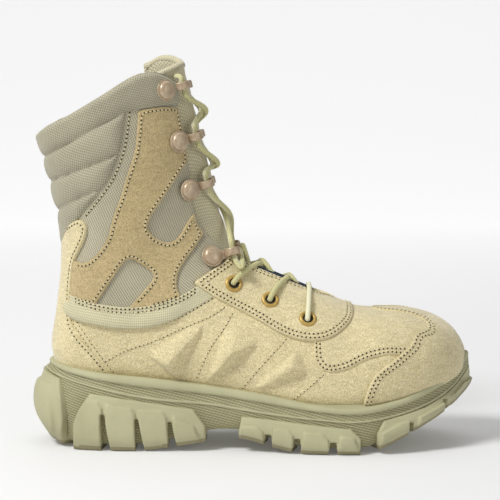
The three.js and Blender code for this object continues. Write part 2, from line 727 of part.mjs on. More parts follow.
const overEyelet = 6.6; // the lace's middle above the form where it lies on an eyelet
const overFacing = 4.6; // where it passes over the facing
const overThroat = 3.6; // where the front bar crosses the middle
const inGap = -1.3; // where it dives between tongue and facing
const gapInset = 3.2; // how far inside the facing's edge it dives
const crossingHalf = 1.5; // the two strands of a crossing lie this far above and below their mean
const crossingMean = 1.6; // and their mean this far above the form

function strand(points) {
  const curve = new THREE.CatmullRomCurve3(points, false, 'centripetal');
  const circle = new THREE.Shape();
  circle.absarc(0, 0, laceRadius, 0, 2 * Math.PI, false);
  const steps = Math.round(curve.getLength() / (4 * laceRadius));
  const settings = { steps, extrudePath: curve, bevelEnabled: false, curveSegments: 4 };
  return solid(new THREE.ExtrudeGeometry(circle, settings));
}

// A point over the front of the form: width across from the ridge, and lift above the surface.
function overForm(s, width, lift) {
  return formPoint(s, angleAtWidth(s, Math.abs(width), evenGrow(0)(), width > 0), evenGrow(lift)());
}

// Points from the facing's edge at section edge, over the facing, to the middle of an eyelet.
function facingRun(edge, side, eyelet) {
  const start = angleAtWidth(edge, throatHalfWidth(edge) - 1, evenGrow(0)(), side > 0);
  return [0, 0.35, 0.75, 1].map((t) => {
    const lift = THREE.MathUtils.lerp(overFacing, overEyelet, smooth(t, 0.3, 0.75));
    const s = THREE.MathUtils.lerp(edge, eyelet.s, t);
    const angle = THREE.MathUtils.lerp(start, eyelet.angle, t);
    return formPoint(s, angle, evenGrow(lift)());
  });
}

// The straight bar between the first pair of eyelets.
function makeLaceBar(hardware) {
  const s = 7.2;
  const runs = hardware.map(({ side, eyelets: [first] }) => facingRun(s, side, first));
  return strand([...runs[0].reverse(), overForm(s, 0, overThroat), ...runs[1]]);
}

// Low crossings: each strand rises out of the gap on one side and passes over the facing on the other, to the
// next eyelet or loop. start, middle and edge are sections of the form: at the gap, the crossing and the edge.
// The last row ends at the lowest loop, straight from its lower mouth.
const lowCrossings = [
  { start: 7.4, middle: 7.7, edge: 7.8 },
  { start: 8.15, middle: 8.6, edge: 8.8 },
  { start: 9.1, middle: 9.7 },
];

// Out of the mouth and off the shaft, on the way in.
const intoLowestLoop = [
  { out: 10, rise: 8.6 },
  { out: 6, rise: 2.4 },
  { out: 3, rise: 0 },
];

function makeLowCrossing({ start, middle, edge }, row, hardware) {
  const strands = hardware.map(({ side, eyelets: own, loops }) => {
    const gapPoint = overForm(start, -side * (throatHalfWidth(start) - gapInset), inGap);
    const crossing = overForm(middle, 0, crossingMean + side * crossingHalf);
    const run = edge
      ? facingRun(edge, side, own[row + 1])
      : intoLowestLoop.map(({ out, rise }) => eyeMouth(loops[0], side, -1, out, rise));
    return strand([gapPoint, crossing, ...run]);
  });
  return union(strands);
}

// High crossings: from the upper mouth of a loop to the lower mouth of the next one on the other side.
const highCrossings = [
  { x: -19.5, z: 156 },
  { x: -27, z: 190.5 },
  { x: -35, z: 226.5 },
];

function makeHighCrossing({ x, z }, row, hardware) {
  const strands = hardware.map(({ side, loops }, i) => {
    const across = hardware[1 - i];
    const middle = new THREE.Vector3(x * along + side * crossingHalf, 0, z * up);
    return strand([
      eyeMouth(loops[row], side, 1, 1),
      eyeMouth(loops[row], side, 1, 4),
      middle,
      eyeMouth(across.loops[row + 1], across.side, -1, 4),
      eyeMouth(across.loops[row + 1], across.side, -1, 1),
    ]);
  });
  return union(strands);
}

// ---------------------------------------------------------------- assembly

addPiece('outsole', makeOutsole(), soleRubber);
addPiece('midsole', makeMidsole(), midsoleFoam);
addPiece('insole', makeInsole(), liningCloth);
addPiece('upper', makeUpper(), fabric);
addPiece('tongue', makeTongue(), fabric);
addPiece('toe_cap', makeToeCap(), suede);
addPiece('heel_counter', makeHeelCounter(), suede);
addPiece('eyestay', makeEyestay(), suede);
const hardware = [-1, 1].map(addHardware);
addPiece('lace_bar', makeLaceBar(hardware), laceCord);
const crossings = [
  ...lowCrossings.map((row, i) => makeLowCrossing(row, i, hardware)),
  ...highCrossings.map((row, i) => makeHighCrossing(row, i, hardware)),
];
crossings.forEach((shape, i) => addPiece(`lace_crossing_${i + 1}`, shape, laceCord));

// The whole boot stands with the middle of its box over the origin.
const box = new THREE.Box3().setFromObject(boot, true);
boot.position.set(-(box.min.x + box.max.x) / 2, -(box.min.y + box.max.y) / 2, -box.min.z);

export default boot;
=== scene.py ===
import math

import bmesh
import bpy
import numpy as np
from mathutils import Matrix, Vector


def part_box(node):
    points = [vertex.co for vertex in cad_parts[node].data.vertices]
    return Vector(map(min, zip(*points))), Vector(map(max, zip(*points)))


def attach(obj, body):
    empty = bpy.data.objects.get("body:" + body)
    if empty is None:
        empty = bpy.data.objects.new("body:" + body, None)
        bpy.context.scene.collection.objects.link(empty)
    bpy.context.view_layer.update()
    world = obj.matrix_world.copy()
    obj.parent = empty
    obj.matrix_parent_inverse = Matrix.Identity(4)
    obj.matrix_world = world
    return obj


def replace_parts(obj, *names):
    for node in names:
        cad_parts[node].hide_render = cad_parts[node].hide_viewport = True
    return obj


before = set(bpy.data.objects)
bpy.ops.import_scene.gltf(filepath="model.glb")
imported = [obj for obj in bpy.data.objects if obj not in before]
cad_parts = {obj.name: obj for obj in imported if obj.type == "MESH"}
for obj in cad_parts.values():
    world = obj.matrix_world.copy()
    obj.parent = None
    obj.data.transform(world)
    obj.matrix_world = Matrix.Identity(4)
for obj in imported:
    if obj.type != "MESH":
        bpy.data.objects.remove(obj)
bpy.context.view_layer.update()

mm = 0.001
# The tables are drawn before the boot is centred on the origin, so they move by the place of the outsole's corner.
drawnCorner = Vector((-150.14, -56.57, 0)) * mm
shift = np.array(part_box("outsole")[0] - drawnCorner) / mm


# A cubic from a to b that leaves along slopeA and arrives along slopeB.
def cubic(a, slopeA, b, slopeB, t):
    return (a * (2 * t**3 - 3 * t**2 + 1) + slopeA * (t**3 - 2 * t**2 + t)
            + b * (3 * t**2 - 2 * t**3) + slopeB * (t**3 - t**2))


# A smooth function through rows of place and value.
def curveThrough(rows):
    at, value = np.array(rows, float).T
    index = np.arange(len(at))
    before, after = np.maximum(index - 1, 0), np.minimum(index + 1, len(at) - 1)
    slope = (value[after] - value[before]) / (at[after] - at[before])

    def curve(where):
        where = np.clip(where, at[0], at[-1])
        i = np.clip(np.searchsorted(at, where, side="right") - 1, 0, len(at) - 2)
        step = at[i + 1] - at[i]
        t = (where - at[i]) / step
        return cubic(value[i], slope[i] * step, value[i + 1], slope[i + 1] * step, t)
    return curve


def smoothStep(value, low, high):
    t = np.clip((value - low) / (high - low), 0, 1)
    return t * t * (3 - 2 * t)


# A line through points, curved except at the corners, which are numbers in the list.
def smoothLine(points, corners=(), closed=False, parts=6):
    points = np.array(points, float)
    count = len(points)
    line = []
    for i in range(count if closed else count - 1):
        a, b = points[i], points[(i + 1) % count]
        before = points[(i - 1) % count] if closed or i else a
        after = points[(i + 2) % count] if closed or i + 2 < count else b
        slopeA = (b - a) if i in corners else (b - before) / 2
        slopeB = (b - a) if (i + 1) % count in corners else (after - a) / 2
        reach = np.linalg.norm(b - a)
        for slope in (slopeA, slopeB):
            slope *= reach / max(np.linalg.norm(slope), 1e-6)
        line.extend(cubic(a, slopeA, b, slopeB, t) for t in np.arange(parts) / parts)
    if not closed:
        line.append(points[-1])
    return np.array(line)


# Distance from places to a line in the same plane, with the direction of the nearest point on it.
def lineDistance(places, line, closed=False):
    starts = line if closed else line[:-1]
    ends = np.roll(line, -1, axis=0) if closed else line[1:]
    best = np.full(len(places), 1e9)
    toward = np.zeros_like(places)
    for a, b in zip(starts, ends):
        along = b - a
        t = np.clip(((places - a) @ along) / max(along @ along, 1e-9), 0, 1)
        miss = places - (a + t[:, None] * along)
        distance = np.hypot(miss[:, 0], miss[:, 1])
        nearer = distance < best
        best[nearer], toward[nearer] = distance[nearer], miss[nearer]
    return best, toward / np.maximum(best, 1e-6)[:, None]


def isInside(places, line):
    inside = np.zeros(len(places), bool)
    for a, b in zip(line, np.roll(line, -1, axis=0)):
        crosses = (a[1] > places[:, 1]) != (b[1] > places[:, 1])
        at = a[0] + (places[:, 1] - a[1]) * (b[0] - a[0]) / (b[1] - a[1] if b[1] != a[1] else 1e-9)
        inside ^= crosses & (places[:, 0] < at)
    return inside


# Distance from places to a closed outline, + inside it.
def depthInside(places, outline):
    line = np.array(outline, float)
    distance = lineDistance(places, line, closed=True)[0]
    return np.where(isInside(places, line), distance, -distance)


# Rounds a wave into a squarer one: the lower the power, the squarer.
def squareWave(wave, power):
    return np.sign(wave) * np.abs(wave) ** power


# Length along a line of points, from 0.
def runAlong(points):
    return np.concatenate([[0], np.cumsum(np.linalg.norm(np.diff(points, axis=0), axis=1))])


# One row for each section: back x, z; front x, z; y of the ridge, outer and inner side; place of the widest point;
# squareness of the low and the top half.
sections = [
    (142, 50, 142, 63, 10, 2, 17, 0.5, 2.2, 2.2),
    (139.5, 46, 139, 69, 10, -8, 25, 0.45, 2.4, 2.3),
    (134, 42, 133, 76.5, 9, -19, 32, 0.42, 2.6, 2.4),
    (124, 37.5, 121, 83.5, 8, -31, 39, 0.4, 2.9, 2.6),
    (108, 32.5, 104, 87.5, 7, -40.5, 43.5, 0.36, 3.1, 2.7),
    (88, 28, 84, 88.5, 5, -46.5, 45.5, 0.34, 3.3, 2.6),
    (64, 25, 63, 91.5, 4, -48.5, 45.5, 0.32, 3.4, 2.3),
    (38, 24, 42, 100.5, 3, -47.5, 41.5, 0.31, 3.4, 2.15),
    (8, 27, 18, 112.5, 2, -42.5, 35.5, 0.31, 3.3, 2.05),
    (-24, 32, -1, 123.5, 1.5, -38, 32.5, 0.32, 3.2, 2),
    (-58, 36.5, -12, 133.5, 1, -37, 33, 0.33, 3.1, 2),
    (-92, 39, -19, 145, 0.5, -36.5, 33.5, 0.33, 2.9, 2),
    (-123, 42.5, -24, 157, 0, -35.5, 33.5, 0.35, 2.6, 2),
    (-135.5, 63, -27.5, 170, 0, -35, 33.5, 0.38, 2.4, 2),
    (-132.5, 92, -30.5, 184, 0, -35.5, 34.5, 0.42, 2.3, 2),
    (-129.5, 118, -34, 199, 0, -37, 36, 0.44, 2.2, 2),
    (-129.5, 145, -38, 214, 0, -38.5, 37.5, 0.46, 2.15, 2),
    (-135, 172, -42, 230, 0, -40, 39, 0.47, 2.1, 2),
    (-142, 198, -46, 246, 0, -41.5, 40.5, 0.48, 2.1, 2),
    (-148, 219, -50, 262, 0, -42.5, 41.5, 0.49, 2.1, 2),
    (-152.5, 237, -54, 278, 0, -43, 42, 0.5, 2.1, 2),
]
sectionCurves = [curveThrough([(i, row[column]) for i, row in enumerate(sections)]) for column in range(10)]
tipDepth = 2.2  # the form's rounded end beyond its first section


# Points of the form. s counts sections from the toe tip; angle turns from the front, + over the inner side.
# Below 0, s closes the toe tip.
def formPoints(s, angle, grow=(0, 0, 0)):
    s, angle = np.asarray(s, float), np.asarray(angle, float)
    values = [curve(np.maximum(s, 0)) for curve in sectionCurves]
    backX, backZ, frontX, frontZ, ridge, outer, inner, widest, low, top = values
    growFront, growBack, growSide = grow
    chord = np.stack([frontX - backX, frontZ - backZ])
    chord /= np.hypot(*chord)
    backX, backZ = backX - growBack * chord[0], backZ - growBack * chord[1]
    frontX, frontZ = frontX + growFront * chord[0], frontZ + growFront * chord[1]
    cos, sin = np.cos(angle), np.sin(angle)
    upper = cos > 0
    power = 2 / np.where(upper, top, low)
    reach = squareWave(cos, power)
    share = widest + reach * np.where(upper, 1 - widest, widest)
    side = np.where(sin < 0, outer - growSide, inner + growSide)
    y = ridge + np.abs(sin) ** power * (side - ridge)
    x = backX + share * (frontX - backX) + growFront * np.maximum(0, 1 - np.maximum(s, 0) / 2.5)
    z = backZ + share * (frontZ - backZ)
    points = np.stack([x, y, z], axis=-1)
    past = np.clip(-s, 0, 1)[..., None]  # past the first section the ring shrinks to its middle
    middle = np.stack([(backX + frontX) / 2, (outer + inner) / 2, (backZ + frontZ) / 2], axis=-1)
    points = middle + (points - middle) * np.cos(past * math.pi / 2)
    points[..., 0] += tipDepth * np.sin(past * math.pi / 2)[..., 0]
    return points


def formNormals(s, angle):
    here = formPoints(s, angle)
    down = formPoints(s + 0.02, angle) - here
    across = formPoints(s, angle + 0.02) - here
    normal = np.cross(across, down)
    inner, outer = (formPoints(s, np.full_like(angle, turn)) for turn in (math.pi / 2, -math.pi / 2))
    out = here - inner / 2 - outer / 2
    normal *= np.where((normal * out).sum(-1) < 0, -1, 1)[..., None]
    return normal / np.maximum(np.linalg.norm(normal, axis=-1), 1e-9)[..., None]


def angleAtWidth(s, halfWidth, inner, growSide=0):
    side = np.where(inner, sectionCurves[6](s) + growSide - sectionCurves[4](s),
                    -sectionCurves[5](s) + growSide + sectionCurves[4](s))
    angle = np.arcsin(np.minimum(halfWidth / side, 1) ** (sectionCurves[9](s) / 2))
    return np.where(inner, angle, -angle)


# Sections and angles of a fine net over the form, about one cell apart, with the cloth's own measure along both.
cell = 1.5
lastSection, netRows, netTurns = len(sections) - 1, 400, 180
roughS = np.linspace(0, lastSection, netRows + 1)
netAngles = np.linspace(-math.pi, math.pi, netTurns + 1)
roughNet = formPoints(roughS[:, None], netAngles[None, :])
stepLength = np.linalg.norm(np.diff(roughNet, axis=0), axis=-1)
alongForm = np.concatenate([[0], np.cumsum(stepLength.max(axis=1))])
alongMean = np.concatenate([[0], np.cumsum(stepLength.mean(axis=1))])
stepRound = np.linalg.norm(np.diff(roughNet, axis=1), axis=-1)
aroundForm = np.concatenate([np.zeros((netRows + 1, 1)), np.cumsum(stepRound, axis=1)], axis=1)
aroundForm -= aroundForm[:, netTurns // 2][:, None]  # measured from the ridge


def clothPlace(s, angle):
    row = np.clip(np.asarray(s) / lastSection * netRows, 0, netRows - 0.001)
    turn = np.clip(angle, -math.pi, math.pi) + math.pi
    column = np.clip(turn / (2 * math.pi) * netTurns, 0, netTurns - 0.001)
    i, j = row.astype(int), column.astype(int)
    u, v = row - i, column - j
    around = ((1 - u) * ((1 - v) * aroundForm[i, j] + v * aroundForm[i, j + 1])
              + u * ((1 - v) * aroundForm[i + 1, j] + v * aroundForm[i + 1, j + 1]))
    return around, np.interp(s, roughS, alongMean)


# Camera, floor and light. The camera stands at the outer side, a little above the collar's height.
view = {"place": (-2.7, -1232.2, 249), "pitch": 5.46, "lens": 130.55}
camera = bpy.data.objects.new("camera", bpy.data.cameras.new("camera"))
bpy.context.scene.collection.objects.link(camera)
camera.location = Vector(view["place"]) * mm
camera.rotation_euler = (math.radians(90 - view["pitch"]), 0, 0)
camera.data.lens = view["lens"]
bpy.context.scene.camera = camera
bpy.context.scene.view_settings.view_transform = "Standard"


def linear(hexColour):
    parts = [int(hexColour[i:i + 2], 16) / 255 for i in (1, 3, 5)]
    return tuple(p / 12.92 if p <= 0.04045 else ((p + 0.055) / 1.055) ** 2.4 for p in parts) + (1,)


def addNode(material, kind, settings=None, links=None):
    tree = material.node_tree
    node = tree.nodes.new("ShaderNode" + kind)
    for name, value in (settings or {}).items():
        if isinstance(name, str) and hasattr(node, name):
            setattr(node, name, value)
        else:
            node.inputs[name].default_value = value
    for name, source in (links or {}).items():
        tree.links.new(source, node.inputs[name])
    return node


# A new material with its shader; settings that are the same all over are set on the shader itself.
def newMaterial(name, **settings):
    material = bpy.data.materials.new(name)
    material.use_nodes = True
    shader = material.node_tree.nodes["Principled BSDF"]
    for socket, value in settings.items():
        shader.inputs[socket.replace("_", " ")].default_value = value
    return material, shader


def connect(material, source, socket):
    material.node_tree.links.new(source, socket)


def objectPlace(material):
    return addNode(material, "TexCoord").outputs["Object"]


def clothPlaceOf(material):
    return addNode(material, "Attribute", {"attribute_name": "weave"}).outputs["Vector"]


# Noise whose features are size millimetres wide, on Object coordinates in metres.
def addNoise(material, place, size, detail, roughness=0.5):
    settings = {"Scale": 1000 / size, "Detail": detail, "Roughness": roughness}
    return addNode(material, "TexNoise", settings, {"Vector": place}).outputs["Fac"]


# Stripes pitch millimetres apart across one direction of a vector that is turned first.
def addStripes(material, vector, degrees, way, pitch, more=None):
    turned = addNode(material, "Mapping", {"Rotation": (0, 0, math.radians(degrees))},
                     {"Vector": vector}).outputs[0]
    settings = {"wave_type": "BANDS", "bands_direction": way, "wave_profile": "SIN",
                "Scale": math.pi / (10 * pitch * mm), **(more or {})}
    return addNode(material, "TexWave", settings, {"Vector": turned}).outputs["Fac"]


def addRange(material, value, fromRange=(0.0, 1.0), toRange=(0.0, 1.0)):
    settings = {"From Min": fromRange[0], "From Max": fromRange[1], "To Min": toRange[0], "To Max": toRange[1]}
    return addNode(material, "MapRange", settings, {"Value": value}).outputs[0]


# A calculation on numbers and other nodes' outputs.
def addMath(material, operation, *terms, clamp=False):
    values = {i: term for i, term in enumerate(terms) if isinstance(term, (int, float))}
    sources = {i: term for i, term in enumerate(terms) if i not in values}
    return addNode(material, "Math", {"operation": operation, "use_clamp": clamp, **values}, sources).outputs[0]


def addScaled(material, colour, factor):
    return addNode(material, "VectorMath", {"operation": "SCALE"}, {0: colour, "Scale": factor}).outputs[0]


def addMix(material, share, first, second):
    mixed = addNode(material, "Mix", {"data_type": "RGBA"}, {0: share})
    mixed.inputs[6].default_value, mixed.inputs[7].default_value = linear(first), linear(second)
    return mixed.outputs[2]


# Relief of so many millimetres, over another relief if there is one.
def addBump(material, height, strength, distance, below=None):
    links = {"Height": height, "Normal": below} if below is not None else {"Height": height}
    return addNode(material, "Bump", {"Strength": strength, "Distance": distance * mm}, links).outputs[0]


def finishMaterial(material, shader, colour, relief):
    connect(material, colour, shader.inputs["Base Color"])
    connect(material, relief, shader.inputs["Normal"])
    return material


floorLook = {"colour": "#E4E4E4", "halfSize": 3.0, "bend": 2.2, "rise": 3.0,
             "glow": {"near": 0.08, "far": 0.56, "from": 0.0, "to": 1.8}}


def makeFloor():
    bm = bmesh.new()
    half = floorLook["halfSize"]
    bmesh.ops.create_grid(bm, x_segments=1, y_segments=1, size=half)
    backEdge = [e for e in bm.edges if all(v.co.y > half - 0.01 for v in e.verts)]
    raised = bmesh.ops.extrude_edge_only(bm, edges=backEdge)["geom"]
    wallVerts = [v for v in raised if isinstance(v, bmesh.types.BMVert)]
    bmesh.ops.translate(bm, verts=wallVerts, vec=(0, 0.1, floorLook["rise"]))
    bend = [e for e in bm.edges if all(abs(v.co.y - half) < 0.01 and v.co.z < 0.01 for v in e.verts)]
    bmesh.ops.bevel(bm, geom=bend, offset=floorLook["bend"], segments=16, profile=0.5, affect="EDGES", material=-1)
    bmesh.ops.translate(bm, verts=bm.verts, vec=(0, 1.0, 0))
    floor = toObject(bm, "floor", smooth=True)
    # Matt painted studio sweep: even and nearly white.
    paint, shader = newMaterial("mattSweepPaint", Base_Color=linear(floorLook["colour"]), Roughness=0.95,
                                Specular_IOR_Level=0.1, Emission_Color=linear("#FBFBFB"))
    # It is lit more strongly towards the back, where the lamps reach it less.
    behind = addNode(paint, "SeparateXYZ", {}, {"Vector": objectPlace(paint)}).outputs["Y"]
    lit = floorLook["glow"]
    glow = addRange(paint, behind, (lit["from"], lit["to"]), (lit["near"], lit["far"]))
    connect(paint, glow, shader.inputs["Emission Strength"])
    floor.data.materials.append(paint)


def toObject(bm, name, smooth=True):
    mesh = bpy.data.meshes.new(name)
    bm.to_mesh(mesh)
    bm.free()
    if smooth:
        mesh.shade_smooth()
    piece = bpy.data.objects.new(name, mesh)
    bpy.context.scene.collection.objects.link(piece)
    return piece


def joinInto(bm, part):
    mesh = bpy.data.meshes.new("part")
    part.to_mesh(mesh)
    bm.from_mesh(mesh)
    part.free()


# Thickens a sheet inwards.
def addWall(piece, thickness):
    wall = piece.modifiers.new("thickness", "SOLIDIFY")
    wall.thickness, wall.offset = thickness * mm, -1


def dropLoose(bm):
    bmesh.ops.delete(bm, geom=[v for v in bm.verts if not v.link_faces], context="VERTS")


def splitPolygons(bm):
    bmesh.ops.triangulate(bm, faces=[f for f in bm.faces if len(f.verts) > 4])


def addLight(name, place, aim, size, power, colour="#FFFFFF"):
    lamp = bpy.data.lights.new(name, "AREA")
    lamp.shape = "DISK"
    lamp.size, lamp.energy, lamp.color = size, power, linear(colour)[:3]
    holder = bpy.data.objects.new(name, lamp)
    holder.location = place
    holder.rotation_euler = (Vector(aim) - Vector(place)).to_track_quat("-Z", "Y").to_euler()
    bpy.context.scene.collection.objects.link(holder)


def makeStudio():
    addLight("keyLight", (-0.95, -0.75, 1.35), (0, 0, 0.1), 0.6, 25)
    addLight("fillLight", (1.4, -1.3, 0.6), (0, 0, 0.1), 1.2, 5)
    addLight("topLight", (0.1, 0.5, 1.8), (0, 0, 0.05), 1.6, 5)
    world = bpy.data.worlds.new("paleSurround")
    world.use_nodes = True
    background = world.node_tree.nodes["Background"]
    background.inputs["Color"].default_value = linear("#FFFFFF")
    background.inputs["Strength"].default_value = 0.3
    bpy.context.scene.world = world


makeFloor()
makeStudio()
print("studio ready")


# Suede: fine raised nap, no gloss, mottled by how the nap lies, with a soft sheen at grazing angles.
def makeSuede(name, main, dark, light):
    material, shader = newMaterial(name, Roughness=0.95, Specular_IOR_Level=0.2, Sheen_Weight=0.35,
                                   Sheen_Roughness=0.5)
    place = objectPlace(material)
    fibres = addNoise(material, place, 0.8, 3.0, 0.7)
    brushed = addNode(material, "Mapping", {"Rotation": (0, 0.5, 0), "Scale": (1, 1, 3.5)}, {"Vector": place})
    nap = addNoise(material, brushed.outputs[0], 7, 3.0)
    patches = addNoise(material, place, 42, 2.0)
    base = addNode(material, "ValToRGB", {}, {"Fac": fibres})
    ramp = base.color_ramp
    ramp.elements[0].position, ramp.elements[1].position = 0.34, 0.66
    ramp.elements[0].color, ramp.elements[1].color = linear(dark), linear(light)
    ramp.elements.new(0.5).color = linear(main)
    strokes = addRange(material, nap, (0.3, 0.7), (0.91, 1.07))
    wide = addRange(material, patches, (0.3, 0.7), (0.93, 1.06))
    colour = addScaled(material, base.outputs["Color"], addMath(material, "MULTIPLY", strokes, wide))
    return finishMaterial(material, shader, colour, addBump(material, fibres, 0.8, 0.4))


# Woven polyester: crossed threads in relief, stronger one way, with a painted highlight on their crowns and painted
# shade in the gaps. The weave attribute holds the cloth's own place in metres. Threads are drawn coarser than real
# ones so that they show.
def makeWeave(name, crown, gap, pitch, slant=0, relief=0.3):
    material, shader = newMaterial(name, Roughness=0.85, Specular_IOR_Level=0.25, Sheen_Weight=0.15)
    cloth = clothPlaceOf(material)
    uneven = {"Distortion": 0.25, "Detail": 1.0, "Detail Scale": 3.0}
    lines = [addStripes(material, cloth, slant, way, pitch, uneven) for way in ("X", "Y")]
    soft = addMath(material, "MULTIPLY_ADD", lines[1], 0.44, addMath(material, "MULTIPLY", lines[0], 0.56))
    tone = addRange(material, addNoise(material, objectPlace(material), 20, 3.0), (0.3, 0.7), (0.93, 1.05))
    # The crown colour is a painted highlight on the threads, the gap colour painted shade between them.
    colour = addScaled(material, addMix(material, soft, gap, crown), tone)
    return finishMaterial(material, shader, colour, addBump(material, soft, 0.7, relief))


vampSuede = makeSuede("napSuedeSand", "#D9CB9E", "#B9A97C", "#EEE3BE")
shaftSuede = makeSuede("napSuedeTan", "#BCA87B", "#9C8960", "#CFBD93")
# First colour: thread crowns with a painted highlight; second colour: the gaps with painted shade.
padCloth = makeWeave("wovenPolyesterFine", "#BBB69F", "#857F68", 1.5, slant=35)
shaftCloth = makeWeave("wovenPolyesterOpen", "#CCC6AD", "#857E68", 1.6, slant=-8)
tongueCloth = makeWeave("wovenPolyesterTongue", "#E0D8B8", "#ADA587", 1.6, slant=45)
paleCloth = makeWeave("wovenPolyesterPale", "#DDD7B6", "#B3AB89", 1.5, slant=45)
navyCloth = makeWeave("wovenPolyesterNavy", "#303A4E", "#1B2230", 1.6, slant=45)
liningCloth = makeWeave("knittedLiningDark", "#50544F", "#33372F", 1.6, slant=45, relief=0.2)
print("cloth and suede materials ready")


# A net over part of the form: its mesh coordinates hold section and angle until it is set on the form.
def newNet(fromS, toS, fromAngle, toAngle):
    spots = np.interp([fromS, toS], roughS, alongForm)
    rows = max(int((spots[1] - spots[0]) / cell), 4)
    spans = np.abs(np.interp([fromAngle, toAngle], netAngles, aroundForm[netRows // 2]))
    columns = max(int((spans.sum() if fromAngle * toAngle < 0 else abs(spans[1] - spans[0])) / cell), 4)
    bm = bmesh.new()
    bmesh.ops.create_grid(bm, x_segments=rows, y_segments=columns, size=0.5)
    for v in bm.verts:
        s = np.interp(spots[0] + (v.co.x + 0.5) * (spots[1] - spots[0]), alongForm, roughS)
        v.co.x, v.co.y = s, fromAngle + (v.co.y + 0.5) * (toAngle - fromAngle)
    return bm


def spotsOf(bm):
    return np.array([v.co[:2] for v in bm.verts])


# Adds edges where a distance passes a level, and returns the vertices on that line.
def splitAt(bm, distanceOf, level):
    bm.verts.index_update()
    distance = distanceOf(spotsOf(bm)) - level
    near = 0.04
    onLine = [v for v, d in zip(bm.verts, distance) if abs(d) < near]
    ends = np.array([(e.verts[0].index, e.verts[1].index) for e in bm.edges])
    a, b = distance[ends[:, 0]], distance[ends[:, 1]]
    crossed = np.nonzero((a * b < 0) & (np.minimum(abs(a), abs(b)) >= near))[0]
    edges = list(bm.edges)
    for i in crossed:
        onLine.append(bmesh.utils.edge_split(edges[i], edges[i].verts[0], a[i] / (a[i] - b[i]))[1])
    bmesh.ops.connect_verts(bm, verts=onLine)
    return onLine


def trimOutside(bm, distanceOf, level=0.0):
    bm.verts.index_update()
    distance = distanceOf(spotsOf(bm)) - level
    outside = [f for f in bm.faces if sum(distance[v.index] for v in f.verts) < 0]
    bmesh.ops.delete(bm, geom=outside, context="FACES")


# Chains of points along the line where a distance passes a level.
def contour(bm, distanceOf, level):
    bm = bm.copy()
    onLine = set(splitAt(bm, distanceOf, level))
    links = {v: [e.other_vert(v) for e in v.link_edges if e.other_vert(v) in onLine] for v in onLine}
    lines, used = [], set()
    for start in sorted(onLine, key=lambda v: (len(links[v]) != 1, v.co.x, v.co.y)):
        if start in used:
            continue
        chain = [start]
        used.add(start)
        while True:
            following = [v for v in links[chain[-1]] if v not in used]
            if not following:
                break
            used.add(following[0])
            chain.append(following[0])
        if len(chain) > 3:
            closed = chain[0] in links[chain[-1]] and len(chain) > 8
            lines.append(np.array([v.co[:2] for v in chain + chain[:1] * closed]))
    bm.free()
    return lines


# Distance inside an outline seen from the side, measured over the form. Holes are cut out of it.
def sideRegion(outline, holes=()):
    def distanceOf(spots):
        points = formPoints(*spots.T)[:, [0, 2]]
        normals = formNormals(*spots.T)[:, [0, 2]]
        result = np.full(len(spots), 1e9)
        for line, sign in [(outline, 1), *[(hole, -1) for hole in holes]]:
            distance, toward = lineDistance(points, line, closed=True)
            distance = distance / np.sqrt(np.maximum(1 - (normals * toward).sum(-1) ** 2, 0.12))
            inside = isInside(points, line)
            result = np.minimum(result, np.where(inside, sign, -sign) * distance)
        return result
    return distanceOf


throatHalfWidth = curveThrough([[6.7, 0.5], [6.9, 6], [7.3, 9.5], [8, 11.5], [9.5, 14], [11.5, 18], [14, 21],
                                [20, 22.5]])


# Distance from the throat's edge, over the form.
def throatDistance(spots, margin=0):
    s, angle = spots.T
    across = np.abs(formPoints(s, angle)[:, 1] - sectionCurves[4](s)) - throatHalfWidth(s) - margin
    slope = np.sqrt(np.maximum(1 - formNormals(s, angle)[:, 1] ** 2, 0.1))
    beyond = (6.7 - margin / 25 - s) * 24  # in front of the throat, in millimetres
    inThroat = np.cos(angle) > 0
    return np.where(inThroat, np.maximum(np.where(s < 6.9, beyond, -99), across / slope), 60)


collarLine = smoothLine([(-160, 205), (-147, 211), (-136, 217.5), (-122, 224), (-99, 237.5), (-78, 250), (-67, 252),
                         (-58, 249), (-50, 243.5), (-30, 234)])


def collarDistance(spots):
    points = formPoints(*spots.T)
    return np.interp(points[:, 0], collarLine[:, 0], collarLine[:, 1]) * 0.87 - points[:, 2] * 0.87


rimTop = curveThrough([(-143, 59), (-124, 55), (-100, 51.3), (-66, 47.8), (-30, 43.3), (6, 38.3), (40, 32.5),
                       (68, 30.5), (95, 35), (115, 42.5), (130, 50), (140, 56.5), (148, 61.5)])
tuckIn = 7  # how far the upper runs down behind the sole's rim


def rimDistance(spots):
    points = formPoints(*spots.T)
    return points[:, 2] - rimTop(points[:, 0]) + tuckIn


def smallest(*functions):
    return lambda spots: np.min([f(spots) for f in functions], axis=0)


# A panel's edge rounds down onto what lies below it.
def roundedLift(distance, top, radius, foot=-0.3):
    t = np.clip(distance / radius, 0, 1)
    return foot + (top - foot) * np.sqrt(1 - (1 - t) ** 2)


panelSurfaces = {}


# A mesh from a net, its vertices at points and its weave attribute at the cloth's own places.
def setOnForm(bm, name, spots, points):
    piece = toObject(bm, name)
    piece.data.vertices.foreach_set("co", ((points + shift) * mm).astype(np.float32).ravel())
    around, along = clothPlace(*spots.T)
    weave = (np.stack([around, along, 0 * along], axis=-1) * mm).astype(np.float32)
    piece.data.attributes.new("weave", "FLOAT_VECTOR", "POINT").data.foreach_set("vector", weave.ravel())
    piece.data.update()
    return piece


# Sets a net on the form. liftOf gives the height over the form from the spots and their distance to the edge.
def layOn(bm, name, distanceOf, liftOf, material, thickness=1.0):
    splitPolygons(bm)
    spots = spotsOf(bm)
    distance = distanceOf(spots)
    points = formPoints(*spots.T) + liftOf(spots, distance)[:, None] * formNormals(*spots.T)
    piece = setOnForm(bm, name, spots, points)
    mesh = piece.data
    facing = np.zeros(len(mesh.polygons) * 3, np.float32)
    mesh.polygons.foreach_get("normal", facing)
    middles = np.array([spots[list(p.vertices)].mean(axis=0) for p in mesh.polygons])
    if (facing.reshape(-1, 3) * formNormals(middles[:, 0], middles[:, 1])).sum() < 0:
        mesh.flip_normals()
    if thickness:
        addWall(piece, thickness)
    mesh.materials.append(material)
    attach(piece, "root")
    return piece


